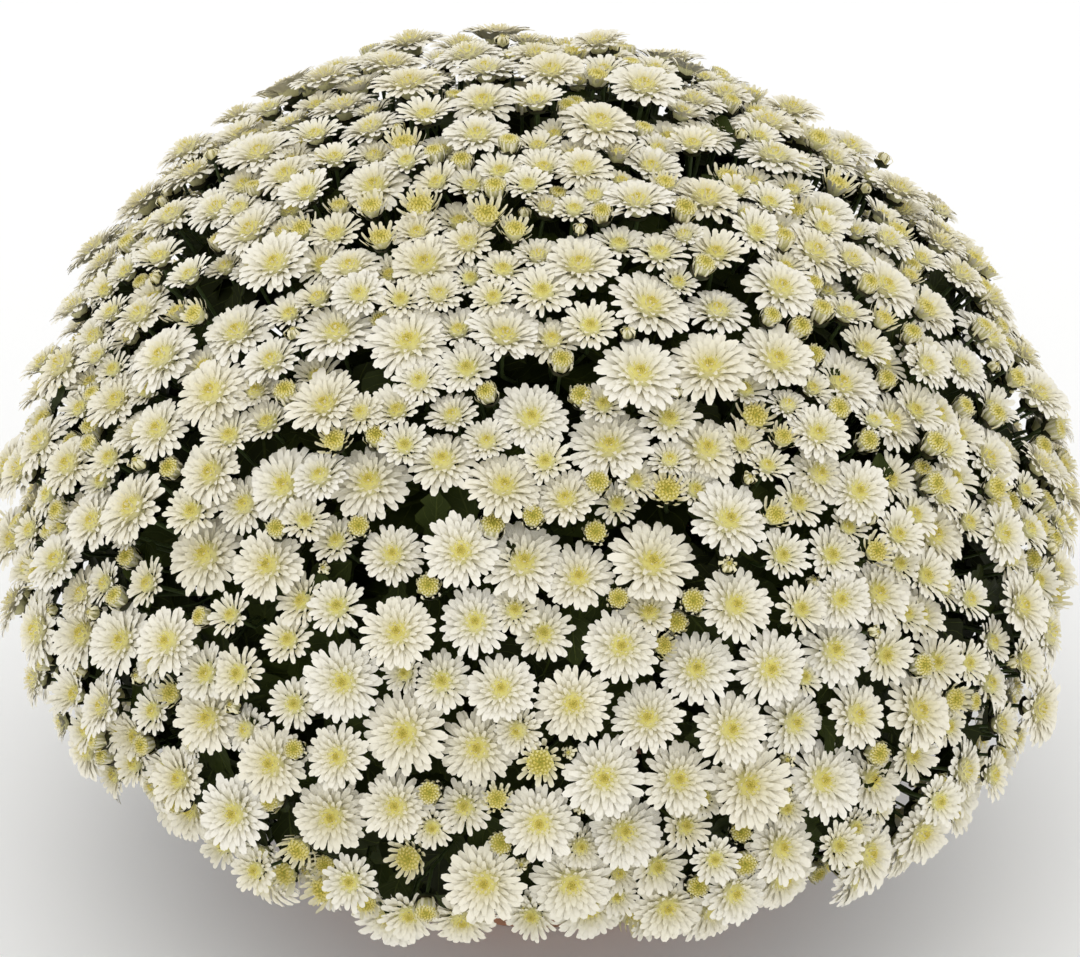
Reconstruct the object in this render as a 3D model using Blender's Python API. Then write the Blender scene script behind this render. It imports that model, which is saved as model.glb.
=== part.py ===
"""A potted chrysanthemum in full bloom: a dome of white double blooms on leafy stems, in a plain round pot.

Metres, +Z up. The origin is the centre of the pot's flat base, on the surface that the pot stands on.

The blooms grow in sprays. Each spray is one solid: its blooms are stars of pointed petals side by side, and
below them it narrows to the root by which it sits in the green bush. The bush is eight leafy stems round a
woody crown.
"""

import math

import bpy
import numpy as np
from mathutils import Vector
from mathutils.bvhtree import BVHTree
from mathutils.geometry import delaunay_2d_cdt

# The plant's dome, from the petal tips of one side to those of the other
DOME_RADIUS = 0.300
DOME_RISE = 0.286
SKIRT_DEPTH = 0.134
EQUATOR_HEIGHT = 0.200
TOP_POWER = 2.0
SKIRT_POWER = 2.5
CENTRE = np.array([0.0, 0.0, EQUATOR_HEIGHT])

# The pot, its compost and the woody crown that stands in it
POT_HEIGHT = 0.170
POT_RIM_RADIUS = 0.135
POT_BASE_RADIUS = 0.098
POT_WALL = 0.004
POT_FLOOR = 0.006
RIM_BAND = 0.026
RIM_STEP = 0.004
DRAIN_HOLES = 4
DRAIN_RADIUS = 0.006
DRAIN_CIRCLE = 0.062
DRAIN_SIDES = 12
POT_SIDES = 28
LIP = 0.003
SOIL_BELOW_RIM = 0.012
SOIL_MOUND = 0.004
SOIL_LUMPS = 0.0016
SOIL_SIDES = 20
SOIL_GAP = 0.0015
SOIL_RINGS = (0.075, 0.038)
CROWN_HOLE_GAP = 0.0004
CROWN_RADIUS = 0.0125
CROWN_SIDES = 12
CROWN_IN_SOIL = 0.028
CROWN_ABOVE_SOIL = 0.040
CLEARANCE = 0.0003

# How many sprays, blooms and buds there are, and how low on the dome they grow
SEED = 11
SPRAYS = 44
BLOOMS = 576
BUDS = 44
LOWEST_SPRAY = math.radians(103)
LOWEST_BLOOM = math.radians(113)

# How they spread over the dome: wanted distances, and the share of a shortfall that each round makes good
SPRAY_SPACING = 0.150
PACKING = 0.88
SPRAY_GAP = 0.002
DARK_GAP = 0.011
PUSH = 0.22
SPREAD_ROUNDS = 150

# Bloom sizes, from the edge's radius of the smallest to that of the largest, and how unevenly they are mixed
SMALLEST_BLOOM = 0.0130
LARGEST_BLOOM = 0.0245
SIZE_MIX = 0.85
BUD_SPACE = 0.0085
BLOOM_LIFT = 0.0032
SPRAY_LIFT = 0.0045
TURN_TO_LIGHT = 0.06
LOW_TURN_TO_LIGHT = 0.45
WOBBLE = 0.13

# A bloom's star of petals, and a bud's knob: depths are below the bloom's face
PETALS = 5
SMALL_PETALS = 4
FEW_PETALS_BELOW = 0.0170
NOTCH_SHARE = 0.66
TIP_DEPTH = 0.0035
NOTCH_DEPTH = 0.0100
LOWEST_TIP = 0.0160
HIGHEST_TIP = 0.0040
MIDDLE_RISE = 0.0040
PETAL_GAP = 0.0009
NEIGHBOURS_WITHIN = 0.12
BUD_SIDES = 5
BUD_RADIUS = 0.0062
BUD_HEIGHT = 0.0065
BUD_SHOULDER = 0.004

# A spray's body: what bridges its blooms, and how thick it is down to its root
ROOT_DEPTH = 0.042
LONG_BRIDGE = 0.0125
WIDEST_BRIDGE = 0.040
FEWEST_TIES = 4
UNDER_DEPTH = 0.0175
MIN_THICKNESS = 0.0014
PIT_DEPTH = 0.003
PIT_SLOPE = 0.25
MOST_LIFT = 0.005
LIFT_STEP = 0.0006

# The green bush under the sprays
BUSH_SECTORS = 8
RIDGE_DEPTH = 0.025
LOWER_EDGE = math.radians(121)
LOWER_EDGE_DEPTH = 0.024
INNER_DEPTH = 0.058
OUTER_SITES = 22
OUTER_SITE_ANGLE = math.radians(136)
SECTOR_GAP = 0.0005
SEAT_GAP = 0.0003
STEM_RADIUS = 0.0042
STEM_TIP_SHARE = 0.8
STEM_SIDES = 5
STEM_FOOT_SHARES = (0.74, 0.55)
STEM_ENTRY_ANGLE = math.radians(66)
STEM_ENTRY_SUNK = 0.008
STEM_KNEE_OUT = 0.055
STEM_KNEE_UP = 0.035

# The leaves: their outline is the share of the length and of the half width, from the foot to the tip
LEAF_OUTLINE = ((0.0, 0.16), (0.30, 0.82), (0.44, 0.48), (0.66, 1.0), (1.0, 0.0))
LEAF_THICKNESS = 0.0012
LEAF_SAG = 0.22
LEAF_ROOM = 0.0006
LEAF_SWELL = 1.05
GAP_LEAVES = 34
GAP_LEAF_TIP_DEPTH = 0.002
GAP_LEAF_SUNK = 0.006
GAP_LEAF_MARGIN = 0.0015
GAP_LEAF_SPACING = 0.075
NARROWEST_GAP = 0.0055
WIDEST_GAP_LEAF = 0.0095
SKIRT_LEAVES = 36
SKIRT_TRIES = 8
SKIRT_LEAF_LENGTH = 0.050
SKIRT_LEAF_HALF_WIDTH = 0.0155
SKIRT_ANGLE = LOWER_EDGE - math.radians(5)
OUTER_SKIRT_SUNK = 0.009
INNER_SKIRT_SUNK = 0.022
OUTER_SKIRT_LEAN = (0.25, 0.55)
INNER_SKIRT_LEAN = (0.05, 0.30)

# The camera that took the picture, which places the blooms that stand out in it
PICTURE_WIDTH = 1080
PICTURE_HEIGHT = 957
METRES_PER_PIXEL = 0.0005725
CAMERA_DISTANCE = 2.23
CAMERA_ELEVATION = math.radians(30)
CENTRE_PIXEL = (540, 544)

# Blooms that stand out in the picture: pixel across, pixel down, radius in metres
LANDMARK_BLOOMS = (
    (655, 563, 0.0250),
    (407, 338, 0.0245),
    (750, 786, 0.0250),
    (590, 326, 0.0170),
    (580, 578, 0.0200),
    (441, 458, 0.0205),
    (163, 430, 0.0195),
    (232, 328, 0.0235),
    (905, 417, 0.0205),
    (710, 446, 0.0215),
    (612, 442, 0.0240),
    (203, 720, 0.0215),
    (341, 683, 0.0225),
    (460, 551, 0.0215),
    (940, 300, 0.0205),
    (219, 848, 0.0150),
    (262, 861, 0.0145),
    (350, 880, 0.0170),
    (462, 921, 0.0195),
    (668, 908, 0.0205),
    (1005, 755, 0.0155),
)


def unit(vectors):
    """The vectors, each made one long."""
    vectors = np.asarray(vectors, float)
    return vectors / np.linalg.norm(vectors, axis=-1, keepdims=True)


def dome_distance(direction):
    """How far the bloom surface lies from the dome's centre: a superellipse turned round the upright axis."""
    flat = np.hypot(direction[..., 0], direction[..., 1])
    up = direction[..., 2]
    rise = np.where(up > 0, DOME_RISE, SKIRT_DEPTH)
    power = np.where(up > 0, TOP_POWER, SKIRT_POWER)
    return ((flat / DOME_RADIUS) ** power + (np.abs(up) / rise) ** power) ** (-1 / power)


def dome_point(direction, depth=0.0):
    """The point in that direction, depth below the bloom surface along the line to the dome's centre."""
    return CENTRE + direction * (dome_distance(direction) - depth)[..., None]


def dome_normal(direction):
    """The outward normal of the bloom surface: the gradient of its superellipse."""
    at = direction * dome_distance(direction)[..., None]
    flat = np.maximum(np.hypot(at[:, 0], at[:, 1]), 1e-6)
    rise = np.where(at[:, 2] > 0, DOME_RISE, SKIRT_DEPTH)
    power = np.where(at[:, 2] > 0, TOP_POWER, SKIRT_POWER)
    outward = flat ** (power - 1) / DOME_RADIUS**power
    upward = np.sign(at[:, 2]) * np.abs(at[:, 2]) ** (power - 1) / rise**power
    return unit(np.stack([at[:, 0] / flat * outward, at[:, 1] / flat * outward, upward], 1))


def polar(angle_down, azimuth):
    """Unit directions from the angle down from straight up and the angle round."""
    flat = np.sin(angle_down)
    return np.stack([flat * np.cos(azimuth), flat * np.sin(azimuth), np.cos(angle_down)], -1)


def angle_down(direction):
    """The angle of each direction from straight up."""
    return np.arccos(np.clip(direction[..., 2], -1, 1))


def raised_to(direction, lowest):
    """The directions, with those below the lowest angle brought up to it."""
    azimuth = np.arctan2(direction[..., 1], direction[..., 0])
    return polar(np.minimum(angle_down(direction), lowest), azimuth)


def sight_line(across, down):
    """Where the camera stands, and the direction in which it sees a pixel of the picture."""
    back = np.array([0, -math.cos(CAMERA_ELEVATION), math.sin(CAMERA_ELEVATION)])
    up = np.array([0, math.sin(CAMERA_ELEVATION), math.cos(CAMERA_ELEVATION)])
    right = np.array([1.0, 0, 0])
    rise = (CENTRE_PIXEL[1] - PICTURE_HEIGHT / 2) * METRES_PER_PIXEL
    eye = CENTRE + back * CAMERA_DISTANCE + up * rise
    aside = (across - PICTURE_WIDTH / 2) * METRES_PER_PIXEL
    above = (PICTURE_HEIGHT / 2 - down) * METRES_PER_PIXEL
    return eye, unit(right * aside + up * above - back * CAMERA_DISTANCE)


def seen_at(across, down):
    """The point of the bloom surface that a pixel shows, or the nearest one to its line of sight."""
    eye, look = sight_line(across, down)
    steps = np.linspace(CAMERA_DISTANCE - 0.4, CAMERA_DISTANCE + 0.3, 1401)
    points = eye + look * steps[:, None]
    away = points - CENTRE
    excess = np.linalg.norm(away, axis=1) - dome_distance(unit(away))
    inside = np.flatnonzero(excess < 0)
    return points[inside[0]] if len(inside) else points[np.argmin(excess)]


def spread_directions(rng, count, lowest):
    """Seeded directions, even over the bloom surface: the angle down comes from its area up to there."""
    angles = np.linspace(0.02, lowest, 400)
    rim = polar(angles, np.zeros(400))
    at = dome_point(rim)
    ring = np.hypot(at[:, 0], at[:, 1])
    step = np.linalg.norm(np.diff(at, axis=0), axis=1)
    area = np.concatenate([[0], np.cumsum(step * (ring[1:] + ring[:-1]) / 2)])
    chosen = np.interp(rng.random(count) * area[-1], area, angles)
    return polar(chosen, rng.random(count) * 2 * math.pi)


def dark_patches(points):
    """From 0 to 1, how open the bush is there: slow waves over the dome, stronger low down at the front."""
    x, y, z = (points - CENTRE).T / DOME_RADIUS
    wide = np.sin(5.1 * x + 2.2 * z + 0.4) * np.sin(4.3 * z - 3.7 * y + 1.3)
    fine = np.sin(9 * x - 7 * z + 2.0)
    return np.clip(0.40 + 0.45 * wide + 0.27 * fine - 0.25 * z, 0, 1)


def pushed_apart(direction, wanted, lowest, fixed=0):
    """Moves directions over the dome until each pair is about as far apart as wanted asks. The first few, as
    many as fixed says, stay where they are."""
    for _ in range(SPREAD_ROUNDS):
        points = dome_point(direction)
        apart = points[:, None] - points[None]
        distance = np.linalg.norm(apart, axis=2) + np.eye(len(points))
        push = np.clip(wanted(points, direction) - distance, 0, None) / distance
        np.fill_diagonal(push, 0)
        shift = PUSH * (apart * push[..., None]).sum(1)
        shift[:fixed] = 0
        direction = raised_to(unit(points + shift - CENTRE), lowest)
    return direction


class Flowers:
    """Where the blooms and buds are: landmarks first, then the other blooms, then the buds."""

    def __init__(self):
        rng = np.random.default_rng(SEED)
        start = spread_directions(rng, SPRAYS, LOWEST_SPRAY)
        self.sprays = pushed_apart(start, lambda points, direction: SPRAY_SPACING, LOWEST_SPRAY)
        landmarks = np.array([seen_at(across, down) for across, down, _ in LANDMARK_BLOOMS])
        others = BLOOMS - len(landmarks)
        radius = SMALLEST_BLOOM + (LARGEST_BLOOM - SMALLEST_BLOOM) * rng.random(others) ** SIZE_MIX
        given = [radius for _, _, radius in LANDMARK_BLOOMS]
        self.radius = np.concatenate([given, radius, np.full(BUDS, BUD_SPACE)])
        free = spread_directions(rng, others + BUDS, LOWEST_BLOOM)
        direction = np.concatenate([raised_to(unit(landmarks - CENTRE), LOWEST_BLOOM), free])
        self.direction = pushed_apart(direction, self.wanted, LOWEST_BLOOM, len(landmarks))
        self.is_bud = np.arange(len(direction)) >= BLOOMS
        self.spray = np.argmax(self.direction @ self.sprays.T, axis=1)
        lift = rng.normal(0, BLOOM_LIFT, len(direction)) + rng.normal(0, SPRAY_LIFT, SPRAYS)[self.spray]
        self.lift = np.clip(lift, -2 * SPRAY_LIFT, 2 * SPRAY_LIFT)
        self.turn = rng.random(len(direction)) * 2 * math.pi
        self.axis = self.facing(rng)

    def wanted(self, points, direction):
        """The sum of the radii, less the overlap of neighbours, and more where the bush is open."""
        reach = PACKING * (self.radius[:, None] + self.radius[None])
        home = np.argmax(direction @ self.sprays.T, axis=1)
        dark = dark_patches(points)
        return reach + DARK_GAP * (dark[:, None] + dark[None]) / 2 + SPRAY_GAP * (home[:, None] != home[None])

    def facing(self, rng):
        """Each bloom faces out of the dome. Low ones turn up towards the light."""
        normal = dome_normal(self.direction)
        turn = TURN_TO_LIGHT + LOW_TURN_TO_LIGHT * np.clip(-normal[:, 2], 0, None)
        tilted = unit(normal + turn[:, None] * np.array([0, 0, 1.0]))
        return unit(tilted + rng.normal(0, WOBBLE, tilted.shape))


def across_axes(direction):
    """Two directions across each given one, at right angles to it and to each other."""
    helper = np.where(np.abs(direction[:, 2:]) < 0.9, [[0, 0, 1.0]], [[1.0, 0, 0]])
    first = unit(np.cross(helper, direction))
    return first, np.cross(direction, first)


def petal_reach(flowers, one, headings):
    """How far bloom one may reach along each heading before it comes to the plane that parts it from a
    neighbour. That plane holds the dome's centre and the point that divides the way between the two blooms by
    their radii."""
    here = dome_point(flowers.direction[one]) - CENTRE
    others = dome_point(flowers.direction) - CENTRE
    between = np.linalg.norm(others - here, axis=1)
    near = (between > 1e-6) & (between < NEIGHBOURS_WITHIN)
    away = others[near] - here
    share = flowers.radius[one] / (flowers.radius[one] + flowers.radius[near])
    divide = unit(here + away * share[:, None])
    normal = unit(away - divide * (away * divide).sum(1)[:, None])
    room = -normal @ (here + flowers.direction[one] * flowers.lift[one]) - PETAL_GAP
    towards = headings @ normal.T
    reach = np.where(towards > 1e-3, room / np.maximum(towards, 1e-3), 1.0)
    return np.minimum(flowers.radius[one], reach.min(1))


def star_of(flowers, one):
    """Points of one bloom or bud: its middle, then tips and notches in turn round it. Petals point out from
    the middle to their tips, the notches between them lie nearer in and lower, and a bud is a round knob."""
    direction = flowers.direction[one]
    bud = flowers.is_bud[one]
    axis = direction if bud else flowers.axis[one]
    first, second = (a[0] for a in across_axes(axis[None]))
    petals = SMALL_PETALS if flowers.radius[one] < FEW_PETALS_BELOW else PETALS
    corners = BUD_SIDES if bud else 2 * petals
    angles = flowers.turn[one] + np.arange(corners) * 2 * math.pi / corners
    headings = np.cos(angles)[:, None] * first + np.sin(angles)[:, None] * second
    reach = petal_reach(flowers, one, headings)
    sunk = np.full(corners, TIP_DEPTH)
    if bud:
        reach = np.minimum(reach, BUD_RADIUS)
        sunk[:] = BUD_SHOULDER
    else:
        tips = reach[::2]
        reach[1::2] = np.minimum(reach[1::2], NOTCH_SHARE * np.minimum(tips, np.roll(tips, -1)))
        sunk[1::2] = NOTCH_DEPTH
    face = dome_point(direction) - CENTRE + direction * flowers.lift[one]
    rim = face + headings * reach[:, None]
    ways = unit(rim)
    surface = dome_distance(ways)
    far = np.clip(np.linalg.norm(rim, axis=1) - sunk, surface - LOWEST_TIP, surface + HIGHEST_TIP)
    middle = np.linalg.norm(face) + (BUD_HEIGHT if bud else MIDDLE_RISE)
    return np.vstack([direction, ways]), np.concatenate([[middle], far])


def flat_map(direction):
    """The dome laid flat, shapes kept: seen from its lowest point, on the plane through its equator."""
    return direction[:, :2] / (1 + direction[:, 2:])


def triangulated(plane, edges):
    """Triangles over points of a plane that keep the given edges."""
    found = delaunay_2d_cdt([Vector(p) for p in plane], edges, [], 0, 1e-7, True)
    if len(found[0]) != len(plane):
        raise ValueError("two petals cross, so the flat map gained a point")
    original = [sources[0] for sources in found[3]]
    return [tuple(original[i] for i in face) for face in found[2]]


def edges_of(triangles):
    """Each directed edge, with its triangle."""
    return {(t[i], t[(i + 1) % 3]): t for t in triangles for i in range(3)}


def outline_of(triangles):
    """The directed edges of the triangles that have no partner, as a map from each point to the next."""
    directed = edges_of(triangles)
    return {a: b for a, b in directed if (b, a) not in directed}


def enclosed(triangles, edges):
    """Those triangles that lie left of a closed line of directed edges."""
    directed = edges_of(triangles)
    wall = set(edges) | {(b, a) for a, b in edges}
    stack = [directed[edge] for edge in edges]
    inside = dict.fromkeys(stack)
    while stack:
        t = stack.pop()
        for i in range(3):
            way = (t[i], t[(i + 1) % 3])
            other = directed.get(way[::-1])
            if way not in wall and other and other not in inside:
                inside[other] = None
                stack.append(other)
    return list(inside)


def chords_of(triangles, outline):
    """The edges within an outline that run between two of its points. Those points are numbered first."""
    ends = len(outline)
    sides = set(outline) | {(b, a) for a, b in outline}
    found = {tuple(sorted(edge)) for edge in edges_of(triangles) if max(edge) < ends and edge not in sides}
    return sorted(edge for edge in found if edge[0] != edge[1])


def cross(plane, one, other):
    """Whether two edges of the plane cross between their ends."""
    if set(one) & set(other):
        return False
    (a, b), (c, d) = plane[list(one)], plane[list(other)]
    return edge_room(a, c, d) * edge_room(b, c, d) < 0 and edge_room(c, a, b) * edge_room(d, a, b) < 0


def edge_room(point, a, b):
    """How far a point lies to the left of the line from a to b."""
    across = (a[0] - point[0]) * (b[1] - point[1]) - (a[1] - point[1]) * (b[0] - point[0])
    return across / math.dist(a, b)


def largest_group(triangles):
    """The largest set of triangles that hang together by their edges."""
    directed = edges_of(triangles)
    left, best = dict.fromkeys(triangles), []
    while left:
        stack = [next(iter(left))]
        del left[stack[0]]
        group = list(stack)
        while stack:
            t = stack.pop()
            for i in range(3):
                other = directed.get((t[(i + 1) % 3], t[i]))
                if other in left:
                    del left[other]
                    stack.append(other)
                    group.append(other)
        best = max(best, group, key=len)
    return best


def without_pinches(triangles):
    """The largest group, less what hangs on by a single point: at each such point the widest fan stays."""
    triangles = largest_group(triangles)
    while True:
        directed = edges_of(triangles)
        starts = [a for a, b in directed if (b, a) not in directed]
        pinched = sorted({a for a in starts if starts.count(a) > 1})
        if not pinched:
            return triangles
        around = [t for t in triangles if pinched[0] in t]
        kept = set(largest_group(around))
        triangles = largest_group([t for t in triangles if t in kept or pinched[0] not in t])


def opened_up(triangles, plane, owner, longest):
    """Takes away the long triangles at the edge of a spray, which only bridge a gap between petals, longest
    first. One stays if it is part of a bloom, or if two blooms would hang together by too little."""
    triangles = set(triangles)
    ties = {}
    for t in triangles:
        for pair in pairs_of(t, owner):
            ties[pair] = ties.get(pair, 0) + 1
    while True:
        outline = outline_of(triangles)
        directed = edges_of(triangles)
        shown = set(outline)
        choice = None
        for a, b in outline.items():
            triangle = directed[a, b]
            c = next(p for p in triangle if p not in (a, b))
            ear = outline.get(b) == c or outline.get(c) == a
            pairs = pairs_of(triangle, owner)
            if not pairs or (c in shown and not ear) or min(ties[pair] for pair in pairs) < FEWEST_TIES:
                continue
            length = math.dist(plane[a], plane[b]) / longest
            if length > 1 and (choice is None or length > choice[0]):
                choice = (length, triangle)
        if choice is None:
            return without_pinches(sorted(triangles))
        triangles.remove(choice[1])
        for pair in pairs_of(choice[1], owner):
            ties[pair] -= 1


def pairs_of(triangle, owner):
    """The pairs of blooms that a triangle ties together."""
    blooms = sorted({int(owner[p]) for p in triangle})
    return [(a, b) for a in blooms for b in blooms if a < b]


def mesh_object(name, points, faces, material, parent=None):
    """A new object from points and faces, in world coordinates."""
    mesh = bpy.data.meshes.new(name)
    mesh.from_pydata([tuple(map(float, p)) for p in points], [], [tuple(map(int, f)) for f in faces])
    mesh.update()
    made = bpy.data.objects.new(name, mesh)
    made.data.materials.append(material)
    made.parent = parent
    bpy.context.scene.collection.objects.link(made)
    return made


def finish(name, colour, roughness, metallic=0.0):
    """A Principled material."""
    made = bpy.data.materials.new(name)
    made.use_nodes = True
    shader = made.node_tree.nodes["Principled BSDF"]
    shader.inputs["Base Color"].default_value = (*colour, 1)
    shader.inputs["Roughness"].default_value = roughness
    shader.inputs["Metallic"].default_value = metallic
    return made


def lifted_clear(points, top, under, rim):
    """Raises the top's inner points where the top would come too near the underside. Returns the faces of the
    underside that it still crosses once no point may rise any further."""
    inner = sorted({p for t in top for p in t} - set(rim))
    corners = np.array([[points[p] - CENTRE for p in t] for t in under]).transpose(0, 2, 1)
    inverse = np.linalg.inv(corners)
    highest, too_high = {}, set()
    for point in inner:
        way = unit(points[point] - CENTRE)
        weights = inverse @ way
        over = np.flatnonzero(weights.min(1) > -1e-9)
        far = np.linalg.norm(points[point] - CENTRE)
        highest[point] = far + MOST_LIFT
        for j in over:
            needed = 1 / weights[j].sum() + MIN_THICKNESS
            if needed > highest[point]:
                too_high.add(int(j))
            elif needed > far:
                points[point] = CENTRE + way * needed
    if too_high:
        return too_high
    while True:
        vectors = [Vector(p) for p in points]
        pairs = BVHTree.FromPolygons(vectors, top).overlap(BVHTree.FromPolygons(vectors, under))
        pairs = [(i, j) for i, j in pairs if not set(top[i]) & set(under[j])]
        low = {p for i, _ in pairs for p in top[i] if np.linalg.norm(points[p] - CENTRE) < highest.get(p, 0)}
        if not low:
            return {j for _, j in pairs}
        for point in low:
            points[point] = points[point] + unit(points[point] - CENTRE) * LIFT_STEP


class DomeMap:
    """The whole dome's blooms as one flat map of triangles, cut into sprays."""

    def __init__(self, flowers):
        self.flowers = flowers
        ways, fars, owner, edges = [], [], [], []
        for one in range(len(flowers.radius)):
            way, far = star_of(flowers, one)
            first = len(owner)
            ring = range(first + 1, first + len(far))
            edges += [(first, i) for i in ring] + list(zip(ring, [*ring[1:], ring[0]]))
            ways.append(way)
            fars.append(far)
            owner += [one] * len(far)
        self.ways = np.vstack(ways)
        self.points = CENTRE + self.ways * np.concatenate(fars)[:, None]
        self.owner = np.array(owner)
        self.middles = set(np.flatnonzero(np.diff(self.owner, prepend=-1)).tolist())
        self.plane = flat_map(self.ways)
        self.triangles = triangulated(self.plane, edges)
        self.home = self.joined_homes()

    def joined_homes(self):
        """The spray of each bloom. One that hardly touches its own goes to the one that it touches most."""
        home = self.flowers.spray.copy()
        for _ in range(4):
            ties = np.zeros((len(home), SPRAYS))
            for t in self.triangles:
                blooms = {self.owner[p] for p in t}
                for one in blooms:
                    for other in blooms - {one}:
                        ties[one, home[other]] += 1
            alone = ties[np.arange(len(home)), home] < FEWEST_TIES
            if not alone.any():
                break
            home[alone] = ties[alone].argmax(1)
        return home

    def longest_side(self, triangle):
        """The longest side of a triangle, in metres."""
        corners = self.points[list(triangle)]
        return np.linalg.norm(corners - np.roll(corners, 1, axis=0), axis=1).max()

    def spray(self, number):
        """Points and faces of one spray, the direction of its root, and its triangles of the map. Its top
        follows the map. Its underside runs from the outline down to the root, under the middlemost bloom."""
        own = self.triangles_of(number)
        used = sorted({p for t in own for p in t})
        place = {p: i for i, p in enumerate(used)}
        top = [tuple(place[p] for p in t) for t in own]
        rim = outline_of(own)
        root = self.root_of(own, rim)
        pits = []
        while True:
            pits, found = self.underside(own, rim, root, pits)
            points = list(self.points[used])
            below = {root: len(points)}
            points.append(dome_point(self.ways[root], np.array(ROOT_DEPTH)))
            for pit, (way, far) in enumerate(pits):
                below[-1 - pit] = len(points)
                points.append(CENTRE + way * far)
            under = [tuple(below[p] if p in below else place[p] for p in (a, c, b)) for a, b, c in found]
            crossed = lifted_clear(points, top, under, [place[p] for p in rim])
            if not crossed:
                return points, top + under, self.ways[root], own
            pits += [self.pit_in([points[p] for p in under[j]]) for j in sorted(crossed)]

    def triangles_of(self, number):
        """A spray's triangles of the map, without the long ones at its edge that only bridge gaps."""
        home = self.home[self.owner]
        own = [t for t in self.triangles if all(home[p] == number for p in t)]
        own = without_pinches([t for t in own if self.longest_side(t) < WIDEST_BRIDGE])
        used = sorted({p for t in own for p in t})
        stretch = 2 / (1 + (self.plane[used] ** 2).sum(1).mean())
        own = opened_up(own, self.plane, self.owner, LONG_BRIDGE / DOME_RADIUS / stretch)
        while True:
            rim = outline_of(own)
            ears = [t for t in own if sum(rim.get(t[i - 1]) == t[i] for i in range(3)) > 1]
            ears = [t for t in ears if pairs_of(t, self.owner)]
            if not ears:
                return own
            own = without_pinches([t for t in own if t not in ears])

    def root_of(self, own, rim):
        """The middle point of the bloom that is nearest to the middle of a spray."""
        middles = sorted(p for p in {q for t in own for q in t} if p in self.middles and p not in rim)
        heart = unit(self.ways[middles].mean(0))
        return max(middles, key=lambda p: self.ways[p] @ heart)

    def pit_in(self, corners):
        """A low point amid some points, deeper the wider they lie apart."""
        middle = np.mean(corners, axis=0) - CENTRE
        way = unit(middle)
        deep = PIT_DEPTH + PIT_SLOPE * np.ptp(corners, axis=0).max()
        return way, max(np.linalg.norm(middle) - deep, dome_distance(way) - UNDER_DEPTH)

    def underside(self, own, rim, root, pits):
        """Low points under a spray and the triangles between these, its outline and its root. The low points
        are those given, and one on each line across the outline that would run along or through the spray's
        top. They are numbered -1, -2 and so on."""
        sites = [*rim, root, *range(-1, -1 - len(pits), -1)]
        place = {p: i for i, p in enumerate(rim)}
        plane = np.vstack([self.plane[[*rim, root]], *(flat_map(way[None]) for way, _ in pits)])
        edges = [(i, place[rim[p]]) for i, p in enumerate(rim)]
        above = chords_of([tuple(place.get(p, len(rim)) for p in t) for t in own], edges)
        pits = list(pits)
        while True:
            found = enclosed(triangulated(plane, edges), edges)
            chords = chords_of(found, edges)
            chords = [c for c in chords if c in above or any(cross(plane, c, other) for other in above)]
            if not chords:
                return pits, [tuple(sites[i] for i in t) for t in found]
            longest = max(chords, key=lambda e: math.dist(plane[e[0]], plane[e[1]]))
            pits.append(self.pit_in(self.points[[sites[i] for i in longest]]))
            plane = np.vstack([plane, flat_map(pits[-1][0][None])])
            sites.append(-len(pits))

    def gaps(self, taken):
        """Middles of the open places between sprays, widest first, with the clear radius round each."""
        taken = set(taken)
        free = [t for t in self.triangles if t not in taken]
        outline = outline_of([t for t in self.triangles if t in taken])
        ends = dome_point(unit(self.ways[np.array(list(outline.items()))]))
        start, along = ends[:, 0], ends[:, 1] - ends[:, 0]
        found = []
        for t in free:
            middle = unit(self.ways[list(t)].mean(0))
            if angle_down(middle) > LOWEST_BLOOM:
                continue
            at = dome_point(middle)
            share = np.clip(((at - start) * along).sum(1) / (along**2).sum(1), 0, 1)
            found.append((np.linalg.norm(start + along * share[:, None] - at, axis=1).min(), middle))
        return sorted(found, key=lambda item: -item[0])


def bush_map(roots):
    """The bush's cells, one for each spray: the ridge points round its root. They are the middles of
    triangles between the roots and a ring of outer sites below the bush's lower edge."""
    turn = np.arange(OUTER_SITES) * 2 * math.pi / OUTER_SITES
    sites = np.vstack([roots, polar(np.full(OUTER_SITES, OUTER_SITE_ANGLE), turn)])
    plane = flat_map(sites)
    triangles = [t for t in triangulated(plane, []) if min(t) < len(roots)]
    ridge = []
    for t in triangles:
        middle = unit(sites[list(t)].mean(0))
        at_edge = max(t) >= len(roots)
        ridge.append(polar(LOWER_EDGE, math.atan2(middle[1], middle[0])) if at_edge else middle)
    cells = []
    for site in range(len(roots)):
        around = {}
        for number, t in enumerate(triangles):
            if site in t:
                i = t.index(site)
                around[t[(i + 1) % 3]] = (t[(i + 2) % 3], number)
        first = next(iter(around))
        step, cell = first, []
        while True:
            step, number = around[step]
            cell.append(number)
            if step == first:
                break
        cells.append(cell)
    return np.array(ridge), cells


def beside(cells, one):
    """The cells that share a side with cell one."""
    return [o for o, other in enumerate(cells) if o != one and len(set(cells[one]) & set(other)) == 2]


def joined_cells(cells, members):
    """The largest set of the members whose cells hang together by their sides."""
    left, best = set(members), []
    while left:
        group = [left.pop()]
        for one in group:
            found = [o for o in beside(cells, one) if o in left]
            left -= set(found)
            group += found
        best = max(best, group, key=len)
    return best


def sector_of_each(roots, cells):
    """Which leafy stem carries each spray: by the angle round, with stragglers given to a neighbour."""
    order = np.argsort(np.arctan2(roots[:, 1], roots[:, 0]))
    sector = np.empty(len(roots), int)
    sector[order] = np.arange(len(roots)) * BUSH_SECTORS // len(roots)
    for _ in range(len(roots)):
        for number in range(BUSH_SECTORS):
            members = np.flatnonzero(sector == number)
            for one in set(members.tolist()) - set(joined_cells(cells, members.tolist())):
                options = [sector[o] for o in beside(cells, one) if sector[o] != number]
                sector[one] = min(options, key=lambda option: (sector == option).sum())
    return sector


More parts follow.
